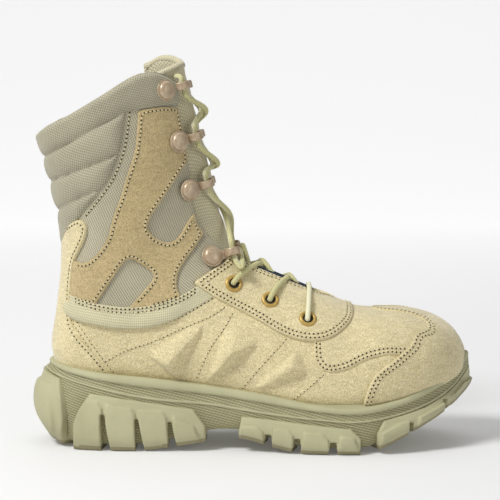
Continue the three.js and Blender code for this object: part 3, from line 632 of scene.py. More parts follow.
# Cuts a panel out of a net over the form and lays it on.
def makePanel(name, look, distanceOf, material, extra=None):
    bm = newNet(*look["net"])
    if look.get("side"):
        otherSide = [f for f in bm.faces if f.calc_center_median().y * look["side"] < 0]
        bmesh.ops.delete(bm, geom=otherSide, context="FACES")
    trimOutside(bm, distanceOf, -4 * cell)
    for level in (look["radius"], 0.35 * look["radius"], 0.08 * look["radius"], 0.0):
        splitAt(bm, distanceOf, level)
    trimOutside(bm, distanceOf)
    dropLoose(bm)
    bmesh.ops.delete(bm, geom=[e for e in bm.edges if not e.link_faces], context="EDGES")

    def liftOf(spots, distance):
        lift = roundedLift(distance, look["top"], look["radius"])
        return lift + (extra(spots, distance) if extra else 0)
    piece = layOn(bm.copy(), name, distanceOf, liftOf, material, look.get("thickness", 1.0))
    panelSurfaces[name] = (bm, distanceOf, liftOf)
    return piece


padFront = [(-84.5, 226.7), (-85.8, 215.7), (-87.8, 203.8), (-91.2, 193.1), (-95.9, 182.4), (-104.1, 170.6),
            (-114, 158.5)]
crescentTop = [(-124, 104.5), (-106.3, 99.2), (-91.5, 96.7), (-76.8, 96.7), (-62.2, 99.2), (-47.5, 104.4),
               (-36, 111.5)]
crescentLow = [(-20, 108), (-28.8, 102.3), (-47.4, 92), (-62.1, 85.8), (-76.8, 83.4), (-91.5, 83.3),
               (-106.3, 85.8), (-124, 91)]
fullTurn = (-3.14159, 3.14159)

baseCloth = {"net": (8.2, 19.9, *fullTurn), "top": 0.2, "radius": 0.8, "thickness": 0.8,
             "outline": [(-175, 84), (-106, 82), (-76, 79), (-47, 86), (-25, 96), (-8, 104), (4, 118), (0, 300),
                         (-175, 300)]}
baseCut = smallest(sideRegion(np.array(baseCloth["outline"], float)), throatDistance, collarDistance)
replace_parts(makePanel("shaft_cloth", baseCloth, baseCut, shaftCloth), "upper")

quarter = {"net": (2.2, 13.6, *fullTurn), "top": 1.2, "radius": 0.5,
           "outline": smoothLine([(-132, 95), (-106.3, 87.2), (-91.5, 84.8), (-76.8, 84.8), (-62.1, 87.2),
                                  (-47.4, 93.2), (-28.8, 103.6), (-12, 112), (24, 97), (48, 84), (56, 68),
                                  (90, 76), (110, 80), (110, 10), (-150, 10)], corners=(0, 13, 14, 12),
                                 closed=True)}
quarterCut = smallest(sideRegion(quarter["outline"]), throatDistance, rimDistance)

# Claws moulded into the quarter: corners of the foot, the peak, and its height.
claws = [
    {"corners": [(-70.3, 64.7), (-42, 83.5), (-33.8, 83.5), (-50.8, 48.5), (-57.7, 53.4)],
     "peak": (-57.3, 59.6), "height": 6.0},
    {"corners": [(-31.8, 46.1), (-19.2, 81.3), (-11.9, 81.9), (3.1, 72.4)],
     "peak": (-14.9, 65.2), "height": 6.5},
    {"corners": [(0.9, 43.5), (28.3, 68.6), (35.5, 53.9), (5.3, 42.4)],
     "peak": (25, 57.3), "height": 6.0},
]
clawStep = 1.3  # the moulded edge round a claw's foot


def clawHeight(spots, distance):
    points = formPoints(*spots.T)[:, [0, 2]]
    total = np.zeros(len(spots))
    for claw in claws:
        corners, peak = np.array(claw["corners"]), np.array(claw["peak"])
        share = np.full(len(spots), 1e9)
        inside = np.full(len(spots), 1e9)
        for a, b in zip(corners, np.roll(corners, -1, axis=0)):
            inward = np.array([b[1] - a[1], a[0] - b[0]])
            reach = (peak - a) @ inward
            share = np.minimum(share, ((points - a) @ inward) / reach)
            inside = np.minimum(inside, ((points - a) @ inward) * np.sign(reach) / np.linalg.norm(inward))
        total += clawStep * smoothStep(inside, -0.4, 1.6) + claw["height"] * np.clip(share, 0, 1)
    return total


makePanel("quarter", quarter, quarterCut, vampSuede, clawHeight)

vamp = {"net": (2.0, 8.6, *fullTurn), "top": 2.2, "radius": 0.5,
        "outline": smoothLine([(20, 140), (24, 96), (38.7, 76), (39.6, 68), (40.4, 61.7), (46.9, 55),
                               (60.1, 56.1), (74.2, 62.3), (87.6, 65.3), (98.4, 64.8), (116, 66), (130, 140)],
                              corners=(0, 1, 11), closed=True)}
vampCut = smallest(sideRegion(vamp["outline"]), throatDistance)
makePanel("vamp", vamp, vampCut, vampSuede)

# The toe cap's rear seam: x for a distance round the form from the ridge.
toeCap = {"net": (-0.98, 5.9, *fullTurn), "top": 3.1, "radius": 0.6,
          "seam": [(0, 80), (6, 82), (13, 94), (20, 108), (27, 115), (34, 114.5), (42, 107), (51, 103), (60, 94),
                   (72, 80), (84, 74), (96, 71.5), (130, 68)]}
seamX = curveThrough(toeCap["seam"])


def toeDistance(spots):
    points = formPoints(*spots.T)
    around = np.abs(clothPlace(*spots.T)[0])
    slope = (seamX(around + 1) - seamX(around - 1)) / 2
    return (points[:, 0] - seamX(around)) / np.sqrt(1 + slope**2)


toeCut = smallest(toeDistance, rimDistance)
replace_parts(makePanel("toe_cap_suede", toeCap, toeCut, vampSuede), "toe_cap")

heelCounter = {"net": (9.5, 17.2, *fullTurn), "top": 2.6, "radius": 0.6,
               "outline": smoothLine([(-175, 141), (-128, 147.2), (-117, 154.2), (-111.8, 151.6), (-110.6, 147.6),
                                      (-113.6, 138.4), (-119, 127.5), (-121, 118), (-122, 108), (-121.6, 86),
                                      (-116.4, 75.8), (-106, 64.3), (-97, 53), (-90, 42), (-90, 10), (-175, 10)],
                                     corners=(0, 13, 14, 15), closed=True)}
counterCut = smallest(sideRegion(heelCounter["outline"]), rimDistance)
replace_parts(makePanel("heel_counter_suede", heelCounter, counterCut, vampSuede), "heel_counter")

shaftPanel = {"net": (9.5, 19.5, -3.0, 3.0), "top": 1.7, "radius": 0.5,
              "outline": smoothLine([(-76.6, 226.3), (-72.7, 227.7), (-58.5, 229.2), (-51.6, 227.4),
                                     (-48.2, 221.2), (-46.1, 213), (-44.1, 201.2), (-43.4, 195.4), (-51.5, 183.1),
                                     (-61, 168.6), (-68.9, 156.7), (-70.9, 150.7), (-69.6, 146.5), (-65, 141.8),
                                     (-57.4, 139), (-51.1, 142), (-44.5, 152.8), (-38.7, 160.5), (-36.5, 156),
                                     (-33.5, 144.7), (-40.5, 134.4), (-47.7, 124.7), (-51.3, 116.2),
                                     (-51.2, 108.4), (-48, 102), (-62, 97), (-77, 94.5), (-92, 94.5), (-106, 97),
                                     (-126, 101), (-126, 128), (-119.1, 126.3), (-114, 125.3), (-109.1, 127.2),
                                     (-102.9, 133.4), (-97.1, 142.9), (-93.4, 156.3), (-88, 170.7),
                                     (-83.9, 184.4), (-79.3, 198.4), (-77.3, 213.7)],
                                    corners=(0, 7, 17, 19, 24, 29, 30), closed=True),
              "window": smoothLine([(-78.9, 127), (-81.5, 128.3), (-84.6, 128), (-87.5, 125.4), (-104.3, 99.9),
                                    (-110, 90), (-88, 88), (-82.5, 97), (-67.8, 114), (-67.2, 117.2),
                                    (-69.6, 120.5)],
                                   corners=(4, 5, 6, 7), closed=True)}
panelCut = smallest(sideRegion(shaftPanel["outline"], [shaftPanel["window"]]),
                    lambda spots: throatDistance(spots, 0.8))
for side, word in ((-1, "lateral"), (1, "medial")):
    makePanel(f"shaft_panel_{word}", {**shaftPanel, "side": side}, panelCut, shaftSuede)

eyestay = {"net": (5.4, 11.5, -2.4, 2.4), "top": 3.7, "radius": 0.6,
           "outline": smoothLine([(-41.4, 111.6), (-24.7, 101), (-1.3, 89), (22, 76.8), (38.5, 73.5), (50, 75.2),
                                  (60, 80.5), (65.5, 86), (66.8, 93), (67, 125), (-17, 150), (-20, 125.2)],
                                 corners=(0, 9, 10, 11), closed=True)}
eyestayCut = smallest(sideRegion(eyestay["outline"]), lambda spots: throatDistance(spots, 0.6))
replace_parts(makePanel("eyestay_suede", eyestay, eyestayCut, vampSuede), "eyestay")
print("suede panels laid")


# Section and angle of the form's points at x, z on one side; side is -1 outside, +1 inside.
def spotsAt(places, side):
    places = np.asarray(places, float)
    firstRow = 60  # the toe's front and the two ridges are left out, where a place has no single spot
    columns = slice(2, 88) if side < 0 else slice(93, 179)
    net = roughNet[firstRow:, columns][:, :, [0, 2]]
    spots = []
    for place in places:
        miss = ((net - place) ** 2).sum(-1)
        i, j = np.unravel_index(miss.argmin(), miss.shape)
        spots.append((roughS[firstRow + i], netAngles[columns][j]))
    spots = np.array(spots)
    for _ in range(12):
        at = formPoints(*spots.T)[:, [0, 2]]
        ds = (formPoints(spots[:, 0] + 0.01, spots[:, 1])[:, [0, 2]] - at) / 0.01
        da = (formPoints(spots[:, 0], spots[:, 1] + 0.01)[:, [0, 2]] - at) / 0.01
        det = ds[:, 0] * da[:, 1] - da[:, 0] * ds[:, 1]
        miss = places - at
        step = np.stack([miss[:, 0] * da[:, 1] - miss[:, 1] * da[:, 0],
                         ds[:, 0] * miss[:, 1] - ds[:, 1] * miss[:, 0]], axis=-1)
        spots += np.clip(0.7 * step / det[:, None], -0.1, 0.1)
    return spots


# Thread between needle holes. The two shapes are small because they are repeated thousands of times.
thread = {"pitch": 2.8, "length": 2.0, "width": 0.8, "height": 0.42, "hole": 0.64}
threadPaint = newMaterial("bondedNylonThread", Base_Color=linear("#D6CBA2"), Roughness=0.6)[0]
holePaint = newMaterial("needleHoleShadow", Base_Color=linear("#2E2216"), Roughness=1.0)[0]
for paint in (threadPaint, holePaint):  # twisted fibre: a fine uneven grain
    relief = addBump(paint, addNoise(paint, objectPlace(paint), 0.6, 2.0), 0.4, 0.1)
    connect(paint, relief, paint.node_tree.nodes["Principled BSDF"].inputs["Normal"])


def templateMesh(name, bm, size):
    bmesh.ops.scale(bm, verts=bm.verts, vec=[n * mm for n in size])
    mesh = bpy.data.meshes.new(name)
    bm.to_mesh(mesh)
    bm.free()
    return mesh


sphere = bmesh.new()
bmesh.ops.create_uvsphere(sphere, u_segments=8, v_segments=4, radius=1)
bmesh.ops.rotate(sphere, verts=sphere.verts, matrix=Matrix.Rotation(math.pi / 2, 3, "Y"))
stitchShape = templateMesh("stitchShape", sphere, (thread["length"] / 2, thread["width"] / 2, thread["height"]))
disc = bmesh.new()
bmesh.ops.create_circle(disc, cap_ends=True, segments=7, radius=1)
holeShape = templateMesh("holeShape", disc, (thread["hole"], thread["hole"], 1))


def standingFrame(at, forward, normal):
    z = Vector(normal).normalized()
    x = (Vector(forward) - z * z.dot(Vector(forward))).normalized()
    return Matrix.Translation(Vector(at)) @ Matrix((x, z.cross(x), z)).transposed().to_4x4()


stitches, holes = bmesh.new(), bmesh.new()


def addCopy(bm, shape, matrix):
    shape.transform(matrix)
    bm.from_mesh(shape)
    shape.transform(matrix.inverted())


# Sews along a line of spots on the form at a height over it.
def sewAlong(spots, liftOf, pitch=thread["pitch"], holeSize=1.0):
    fine = formPoints(*spots.T)
    run = runAlong(fine)
    count = int(run[-1] / pitch)
    if count < 2:
        return
    marks = np.linspace(0, run[-1], count + 1)
    s, angle = (np.interp(marks, run, spots[:, k]) for k in (0, 1))
    at = np.stack([s, angle], axis=-1)
    normals = formNormals(s, angle)
    points = formPoints(s, angle) + (liftOf(at) + 0.12)[:, None] * normals
    for i, (point, normal) in enumerate(zip(points, normals)):
        following = points[min(i + 1, count)] - points[min(i, count - 1)]
        addCopy(holes, holeShape, standingFrame((point + shift) * mm, following, normal) @ Matrix.Scale(holeSize,
                                                                                                        4))
        if i < count:
            middle = (point + points[i + 1]) / 2
            addCopy(stitches, stitchShape, standingFrame((middle + shift) * mm, following, normal))


# Rows of stitches inside a panel's edge. keep says where the edge is sewn.
def sewEdge(name, insets, keep=None):
    bm, distanceOf, liftOf = panelSurfaces[name]
    for inset in insets:
        for line in contour(bm, distanceOf, inset):
            wanted = np.ones(len(line), bool) if keep is None else keep(line)
            edges = np.flatnonzero(np.diff(np.concatenate([[0], wanted.astype(int), [0]])))
            for first, last in zip(edges[::2], edges[1::2]):
                if last - first > 4:
                    sewAlong(smoothSpots(line[first:last]), lambda at: liftOf(at, distanceOf(at)))


def smoothSpots(spots):
    padded = np.concatenate([spots[:1], spots, spots[-1:]])
    return (padded[:-2] + padded[1:-1] * 2 + padded[2:]) / 4


def aboveRim(spots):
    return rimDistance(spots) > tuckIn + 1


def seenFromSide(low=-999, high=999, floor=-999, ceiling=999):
    def keep(spots):
        points = formPoints(*spots.T)
        return ((points[:, 0] > low) & (points[:, 0] < high) & (points[:, 2] > floor) & (points[:, 2] < ceiling)
                & aboveRim(spots))
    return keep


# Seams of the quarter that don't follow an edge.
quarterSeams = [
    [(-121.6, 86.3), (-109, 67.5), (-96.6, 51.1)],
    [(-119.2, 87.7), (-106.6, 69), (-94.3, 52.6)],
    [(-99, 59.7), (-86.1, 66.7), (-66.7, 73.5), (-47.4, 82.2), (-28.7, 89.9), (-20, 95.5)],
    [(-14.7, 91.1), (-20, 82), (-28.7, 69.6), (-38.1, 49.5)],
    [(21.3, 75), (6, 58.5), (-7.7, 42.5)],
    [(45.6, 52.7), (36, 43.8), (26.9, 36.5)],
]


def sewQuarter():
    distanceOf, liftOf = panelSurfaces["quarter"][1:]
    for side in (-1, 1):
        for points in quarterSeams:
            sewAlong(spotsAt(smoothLine(points), side), lambda at: liftOf(at, distanceOf(at)), holeSize=0.7)


sewQuarter()
sewEdge("quarter", [2.4], seenFromSide(low=-122, high=-16, floor=80))
sewEdge("vamp", [1.6, 4.0], seenFromSide(low=36, high=100, floor=50, ceiling=80))
sewEdge("toe_cap_suede", [1.8, 4.2], aboveRim)
sewEdge("heel_counter_suede", [2.2], seenFromSide(ceiling=170))
sewEdge("eyestay_suede", [2.0, 4.6])
for word in ("lateral", "medial"):
    sewEdge(f"shaft_panel_{word}", [2.2], seenFromSide(low=-117, floor=98))
print("stitched:", len(stitches.faces), "thread faces")


# Quilted collar: foam rolls between seams, rounded over the top edge to the lining.
collar = {"net": (13.2, 19.95, *fullTurn), "top": 1.2, "radius": 2.6, "puff": 3.2, "rollHalf": 9, "wall": 2.6,
          "topRadius": 3.4, "sideRadius": 1.2, "lastSeamX": -141,
          "outline": smoothLine([(-175, 128), (-128, 134), (-119, 150), *padFront[::-1], (-71.4, 227.8),
                                 (-57.2, 229.6), (-20, 231), (-20, 300), (-175, 300)],
                                corners=(0, 1, 9, 12, 13, 14), closed=True),
          "seams": [smoothLine([(-152, 190), (-141.5, 195.2), (-123.1, 204.8), (-103.7, 215.8), (-91.7, 222.4),
                                (-84.5, 226.7)]),
                    smoothLine([(-150, 172.5), (-137.6, 178.5), (-115.6, 187.5), (-99.8, 193.8), (-88, 199.5)]),
                    smoothLine([(-145, 153), (-130.7, 159.8), (-115.9, 168.6), (-100, 175.5)])]}


def seamDistance(spots):
    points = formPoints(*spots.T)[:, [0, 2]]
    return np.min([lineDistance(points, seam)[0] for seam in collar["seams"]], axis=0)


def collarPuff(spots, distance):
    edge = np.minimum(np.minimum(np.abs(panelSide(spots)), seamDistance(spots)), 40)
    t = np.clip(edge / collar["rollHalf"], 0, 1)
    return collar["puff"] * (np.sqrt(1 - (1 - t) ** 2) - 0.35)


panelSide = sideRegion(collar["outline"])


def collarLift(spots, distance):
    t = np.clip(collarDistance(spots) / collar["topRadius"], 0, 1)
    flat = roundedLift(np.abs(panelSide(spots)), collar["top"], collar["sideRadius"], foot=0)
    padded = flat + collarPuff(spots, distance)
    return -collar["wall"] + (padded + collar["wall"]) * np.sqrt(1 - (1 - t) ** 2)


def makeCollar():
    distanceOf = smallest(panelSide, throatDistance, collarDistance)
    bm = newNet(*collar["net"])
    trimOutside(bm, distanceOf, -3 * cell)
    for level in (2.0, 0.8, 0.2, 0.0):
        splitAt(bm, distanceOf, level)
    trimOutside(bm, distanceOf)
    dropLoose(bm)
    pad = layOn(bm.copy(), "collar_pad", distanceOf, collarLift, padCloth, 0)
    panelSurfaces["collar_pad"] = (bm, distanceOf, collarLift)
    for side in (-1, 1):
        for seam in collar["seams"]:
            spots = spotsAt(seam[seam[:, 0] > collar["lastSeamX"]], side)
            sewAlong(spots, lambda at: collarLift(at, None) - 0.25, pitch=3.0)
    # The row beside the padding, on the flat cloth.
    edge = smoothLine([(x + 2.6, z - 1.2) for x, z in padFront])
    for side in (-1, 1):
        sewAlong(spotsAt(edge, side), lambda at: np.full(len(at), 0.3))
    return pad


makeCollar()

# Ankle crescent: a flat stitched strip with a foam roll under it.
crescent = {"net": (9.0, 15.5, *fullTurn), "top": 2.0, "radius": 0.8, "strip": 5.2, "roll": 2.8, "rollWidth": 10.5,
            "fade": (-62, -42), "rows": (1.5, 3.8), "sewn": (-119, -38),
            "outline": smoothLine([*crescentTop, (-20, 112), *[(x, z - 1.5) for x, z in crescentLow]],
                                  corners=(0, 6, 7, 8, 14), closed=True)}
crescentUpper = smoothLine(crescentTop)


def crescentRoll(spots, distance):
    points = formPoints(*spots.T)[:, [0, 2]]
    below = lineDistance(points, crescentUpper)[0]
    across = np.clip((below - crescent["strip"]) / crescent["rollWidth"], 0, 1)
    height = crescent["roll"] * (1 - smoothStep(points[:, 0], *crescent["fade"]))
    return np.where(below > crescent["strip"], height * np.sqrt(np.maximum(1 - (2 * across - 1) ** 2, 0)) - 0.3, 0)


crescentCut = smallest(sideRegion(crescent["outline"]), throatDistance)
for side, word in ((-1, "lateral"), (1, "medial")):
    roll = makePanel(f"ankle_pad_{word}", {**crescent, "side": side}, crescentCut, paleCloth,
                     crescentRoll)
    for drop in crescent["rows"]:
        first, last = crescent["sewn"]
        row = crescentUpper[(crescentUpper[:, 0] > first) & (crescentUpper[:, 0] < last)] - (0, drop)
        sewAlong(spotsAt(row, side), lambda at: np.full(len(at), crescent["top"]))
print("padding laid")


# A smooth skin from a grid: placeOf takes shares down and round the grid and gives points in millimetres.
def makeSkin(rows, columns, placeOf, wraps=(False, True), clothOf=None):
    bm = bmesh.new()
    bmesh.ops.create_grid(bm, x_segments=rows, y_segments=columns, size=0.5)
    shares = spotsOf(bm) + 0.5
    cloth = bm.verts.layers.float_vector.new("weave")
    points = (placeOf(*shares.T) + shift) * mm
    measures = clothOf(*shares.T) * mm if clothOf else None
    for i, v in enumerate(bm.verts):
        v.co = points[i]
        if clothOf:
            v[cloth] = measures[i]
    if any(wraps):
        bmesh.ops.remove_doubles(bm, verts=bm.verts, dist=0.02 * mm)
    openEdges = [e for e in bm.edges if e.is_boundary]
    if wraps[1] and openEdges:
        bmesh.ops.holes_fill(bm, edges=openEdges, sides=0)
    bmesh.ops.recalc_face_normals(bm, faces=bm.faces)
    return bm


def addPiece(bm, name, material, slot, *nodes):
    piece = toObject(bm, name)
    piece.data.materials.append(material)
    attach(piece, "root")
    if nodes:
        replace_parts(piece, *nodes)
    return piece


# How far the form shrinks to the hollow's wall: in front, at the back and at the sides.
hollow = {"wall": 2.6, "pad": 5, "padFrom": 14, "padTo": 17.5}


def wallGrow(s, extra):
    pad = hollow["pad"] * smoothStep(s, hollow["padFrom"], hollow["padTo"])
    bare = -hollow["wall"] - extra
    return np.full_like(s, bare), bare - pad, bare - 0.5 * pad


# Tongue: a padded strip behind the throat that swells between the facings, with a piped roll along its top.
tongue = {"fromS": 6.3, "toS": 18.78, "climb": 0.62, "thickness": 4.6, "reach": 9, "topReach": 4, "bulge": 4.5,
          "under": 1.0, "piping": 2.6, "lowFront": 3.5, "navyFrom": -10}


def tonguePlace(s, w, depth):
    half = throatHalfWidth(np.maximum(s, 7))
    width = w * (half + tongue["reach"] + tongue["topReach"] * smoothStep(s, 16, 18.5))
    swell = tongue["bulge"] * smoothStep(s, 9, 12) * np.clip(1 - (np.abs(width) / (half - 0.5)) ** 3, 0, 1)
    front, back, side = wallGrow(s, tongue["under"] + tongue["thickness"] / 2)
    full = 0.45 + 0.55 * smoothStep(s, 6, 9)
    ripple = 0.35 * np.sin(s * 5.1 + 2 * w) * np.clip(swell / 4, 0, 1)
    lowered = tongue["lowFront"] * (1 - smoothStep(s, 8.6, 10.4)) * smoothStep(s, 6.6, 7.4)
    raised = front + swell + ripple - lowered + depth * full
    return formPoints(s, angleAtWidth(s, np.abs(width), width > 0), (raised, back, side + depth * full))


# The top edge climbs from the outer to the inner side.
def tongueTop(w):
    return tongue["toS"] + tongue["climb"] * smoothStep(w, 0, 0.75)


def makeTongue():
    def placeOf(down, around):
        turn = 2 * math.pi * around
        top = tongueTop(-np.cos(turn))
        s = tongue["fromS"] + down * (top - tongue["fromS"])
        closing = np.sqrt(1 - np.clip((s - top + 0.3) / 0.31, 0, 1) ** 2)
        depth = tongue["thickness"] / 2 * squareWave(np.sin(turn), 0.55) * closing
        return tonguePlace(s, -np.cos(turn), depth)

    def clothOf(down, around):
        return np.stack([-np.cos(2 * math.pi * around) * 30, down * 190, 0 * down], axis=-1)
    pad = addPiece(makeSkin(120, 72, placeOf, clothOf=clothOf), "tongue_pad", tongueCloth, "shaft_fabric", "tongue")
    pad.data.materials.append(navyCloth)
    for p in pad.data.polygons:
        p.material_index = int(p.center.x / mm - shift[0] > tongue["navyFrom"])
    w = np.linspace(-0.97, 0.97, 40)
    edge = tonguePlace(tongueTop(w) - 0.1 - 0.15 * np.abs(w) ** 8, w, np.full(40, 0.6))
    piping = tube(edge, tongue["piping"], 10)
    addPiece(piping, "tongue_piping", tongueCloth, "shaft_fabric")


# The bellows between tongue and facing: a dark fold that stands against each facing's edge.
gusset = {"fromS": 6.95, "toS": 10.2, "inside": 1.4, "half": 1.1, "middle": -0.4, "height": 4.2,
          "sink": 2, "opened": 0.05, "closing": 0.35}


def makeGusset(side, word):
    def placeOf(down, around):
        s = gusset["fromS"] + down * (gusset["toS"] - gusset["fromS"])
        turn = 2 * math.pi * around
        width = throatHalfWidth(s) - gusset["inside"] + gusset["half"] * np.cos(turn)
        full = smoothStep(down, 0, gusset["opened"]) * (1 - smoothStep(down, gusset["closing"], 1))
        swell = gusset["height"] * np.sin(turn) * (0.3 + 0.7 * full)
        lift = gusset["middle"] - gusset["sink"] * (1 - full) + swell
        return formPoints(s, angleAtWidth(s, width, np.full(len(s), side > 0)), (lift, lift, lift))

    def clothOf(down, around):
        return np.stack([around * 12, down * 70, 0 * down], axis=-1)
    addPiece(makeSkin(60, 16, placeOf, clothOf=clothOf), f"gusset_fold_{word}", navyCloth, "shaft_fabric")


# A round cord through points; the weave attribute runs round and along it.
def tube(points, radius, sides):
    points = np.asarray(points, float)
    tangents = np.gradient(points, axis=0)
    tangents /= np.linalg.norm(tangents, axis=1)[:, None]
    normal = np.cross(tangents[0], (0.3, 0.1, 1))
    normals = []
    for tangent in tangents:
        normal = normal - tangent * (normal @ tangent)
        normal /= np.linalg.norm(normal)
        normals.append(normal)
    normals = np.array(normals)
    binormals = np.cross(tangents, normals)
    run = runAlong(points)
    count = len(points) - 1

    def placeOf(down, around):
        i = np.rint(down * count).astype(int)
        turn = 2 * math.pi * around[:, None]
        return points[i] + radius * (np.cos(turn) * normals[i] + np.sin(turn) * binormals[i])

    def clothOf(down, around):
        i = np.rint(down * count).astype(int)
        return np.stack([around * 2 * math.pi * radius, run[i], 0 * down], axis=-1)
    return makeSkin(count, sides, placeOf, clothOf=clothOf)


# Lining: the hollow's wall, turned in at the collar to meet the outer cloth.
def makeLining():
    bm = newNet(0.3, 19.9, *fullTurn)
    distanceOf = smallest(lambda spots: throatDistance(spots, 0.8), collarDistance)
    trimOutside(bm, distanceOf, -3 * cell)
    for level in (2.5, 0.8, 0.2, 0.0):
        splitAt(bm, distanceOf, level)
    trimOutside(bm, distanceOf)
    splitPolygons(bm)
    spots = spotsOf(bm)
    s, angle = spots.T
    t = np.clip(collarDistance(spots) / 2.8, 0, 1)
    turnedOut = 2.6 * (1 - np.sqrt(1 - (1 - t) ** 2))
    points = formPoints(s, angle, wallGrow(s, -0.2)) + turnedOut[:, None] * formNormals(s, angle)
    piece = setOnForm(bm, "lining", spots, points)
    hollowMiddle = Vector(shift) + Vector((-60, 0, 150))
    if sum(p.normal @ (p.center / mm - hollowMiddle) for p in piece.data.polygons) > 0:
        piece.data.flip_normals()
    piece.data.materials.append(liningCloth)
    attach(piece, "root")
    return piece


makeTongue()
makeGusset(-1, "lateral")
makeGusset(1, "medial")
makeLining()
print("tongue and lining ready")


# Plan of the sole at the joint: x, y of the outer edge, y of the inner edge.
soleOutline = [(-137, -20, 19), (-122, -34, 32.5), (-98, -40, 38), (-66, -41, 37.5), (-30, -41, 35.5),
               (6, -45.5, 38.5), (40, -52, 46), (70, -53, 50.5), (98, -46.5, 48.5), (121, -34, 41), (138, -15, 29)]
heelEnd, toeEnd = (-143, 0), (148.5, 9)


def closedPlan(parts=40):
    points = np.array([heelEnd, *[(x, outer) for x, outer, inner in soleOutline], toeEnd,
                       *[(x, inner) for x, outer, inner in soleOutline[::-1]]], float)
    line = []
    for i in range(len(points)):
        p0, p1, p2, p3 = (points[(i + k) % len(points)] for k in (-1, 0, 1, 2))
        d0, d1, d2 = (np.linalg.norm(b - a) ** 0.5 for a, b in ((p0, p1), (p1, p2), (p2, p3)))
        slope1 = ((p1 - p0) / d0 - (p2 - p0) / (d0 + d1) + (p2 - p1) / d1) * d1
        slope2 = ((p2 - p1) / d1 - (p3 - p1) / (d1 + d2) + (p3 - p2) / d2) * d1
        line.extend(cubic(p1, slope1, p2, slope2, t) for t in np.arange(parts) / parts)
    line = np.array(line + line[:1])
    return line, runAlong(line)


planLine, planRun = closedPlan()
planLength = planRun[-1]


# A place beside the plan outline: t runs from 0 at the heel along the outer side to 1, out is how far outside.
def planPlace(t, out):
    run = (t % 1) * planLength
    at = np.stack([np.interp(run, planRun, planLine[:, k]) for k in (0, 1)], axis=-1)
    before, after = ((run + d) % planLength for d in (-1.5, 1.5))
    tangent = np.stack([np.interp(after, planRun, planLine[:, k]) - np.interp(before, planRun, planLine[:, k])
                        for k in (0, 1)], axis=-1)
    tangent /= np.linalg.norm(tangent, axis=-1)[..., None]
    return at + np.stack([tangent[..., 1], -tangent[..., 0]], axis=-1) * np.asarray(out)[..., None]


joint = curveThrough([(-143, 51.5), (-130, 48), (-114, 44), (-93, 39), (-66, 34.2), (-30, 31), (6, 25.8),
                      (40, 22.7), (68, 21.2), (90, 24), (110, 29), (127, 35.5), (138, 42), (148, 51)])
treadCurve = curveThrough([(-150, 12), (-137, 4), (-122, 0), (-100, 0), (-80, 0), (-58, 2.2), (-33, 6), (-10, 9),
                           (13, 3.5), (30, 0), (50, 0), (72, 0), (84, 3.4), (100, 10.5), (113, 17), (127, 24),
                           (143, 34), (150, 39)])
bodyBottom = curveThrough([(-146, 13), (-122, 5), (-80, 4), (-58, 7), (-38, 12.5), (-15, 14.5), (4, 12), (20, 7),
                           (36, 4), (72, 4), (85, 8), (100, 14.5), (127, 28), (148, 43)])
core = curveThrough([(-143, 33), (-90, 32), (-50, 29), (-10, 24), (30, 18.3), (60, 17.5), (85, 19.5), (110, 25),
                     (130, 32), (148, 40)])


def tread(x):
    return np.maximum(treadCurve(x), 0)


# Moulded rubber: even colour, faint mould bloom, soft gloss. Where the weave attribute's third number is set, the
# surface has fine ribs that slope a little, crossed more weakly by steep ones, drawn coarse so that they show, with
# painted shade in the valleys between them.
def makeRubber(name, main, dark, ribPitch=1.7):
    material, shader = newMaterial(name, Roughness=0.62, Specular_IOR_Level=0.35)
    place = objectPlace(material)
    bloom = addNoise(material, place, 30, 4.0, 0.6)
    grit = addNoise(material, place, 0.8, 2.0)
    cloth = clothPlaceOf(material)
    ribs = addMath(material, "MULTIPLY", addStripes(material, cloth, 14, "Y", ribPitch), 0.75)
    both = addMath(material, "MULTIPLY_ADD", addStripes(material, cloth, -58, "Y", ribPitch * 1.3), 0.25, ribs)
    mask = addRange(material, addNode(material, "SeparateXYZ", {}, {"Vector": cloth}).outputs["Z"], (0.0, 0.001))
    knurl = addMath(material, "MULTIPLY", both, mask)
    # Between the ribs the rubber is darkened: painted shade in the valleys.
    valleyShade = addMath(material, "SUBTRACT", mask, knurl)
    share = addRange(material, bloom, (0.3, 0.75), (0.0, 0.35))
    colour = addMix(material, addMath(material, "MULTIPLY_ADD", valleyShade, 1.1, share, clamp=True), main, dark)
    relief = addBump(material, knurl, 0.8, 0.4, below=addBump(material, grit, 0.25, 0.12))
    return finishMaterial(material, shader, colour, relief)


# Each rubber's second colour serves both the random mould bloom and the painted shade in the rib valleys.
soleRubber = makeRubber("mouldedRubberKhaki", "#BAB794", "#8B8562")
# A darker copy of the sole rubber: painted shade for the lugs' foot and for the blocks under the sole.
shadedTreadRubber = makeRubber("mouldedRubberTreadShade", "#968F6F", "#7F795B")

# The midsole's section, once round: out from the plan, and share of the height from the joint to the rim.
midsole = {"rings": 600, "heelLean": 4.0, "toeLean": 0.8, "ballLip": 0.3,
           "section": [(-14, 0.35), (-14, 0.8), (-10, 0.94), (-7, 1.0), (-5, 1.05), (-3.4, 1.06), (-1.8, 1.04),
                       (-0.8, 0.99), (-0.1, 0.9), (0.25, 0.8), (0.25, 0.7), (0.0, 0.64), (-0.7, 0.6),
                       (-1.1, 0.57), (-1.15, 0.52), (-1.0, 0.36), (-0.9, 0.14), (-0.4, 0.12), (-0.15, 0.08),
                       (-0.15, 0.03), (-0.5, 0.0), (-1.2, -0.02), (-14, -0.02)]}


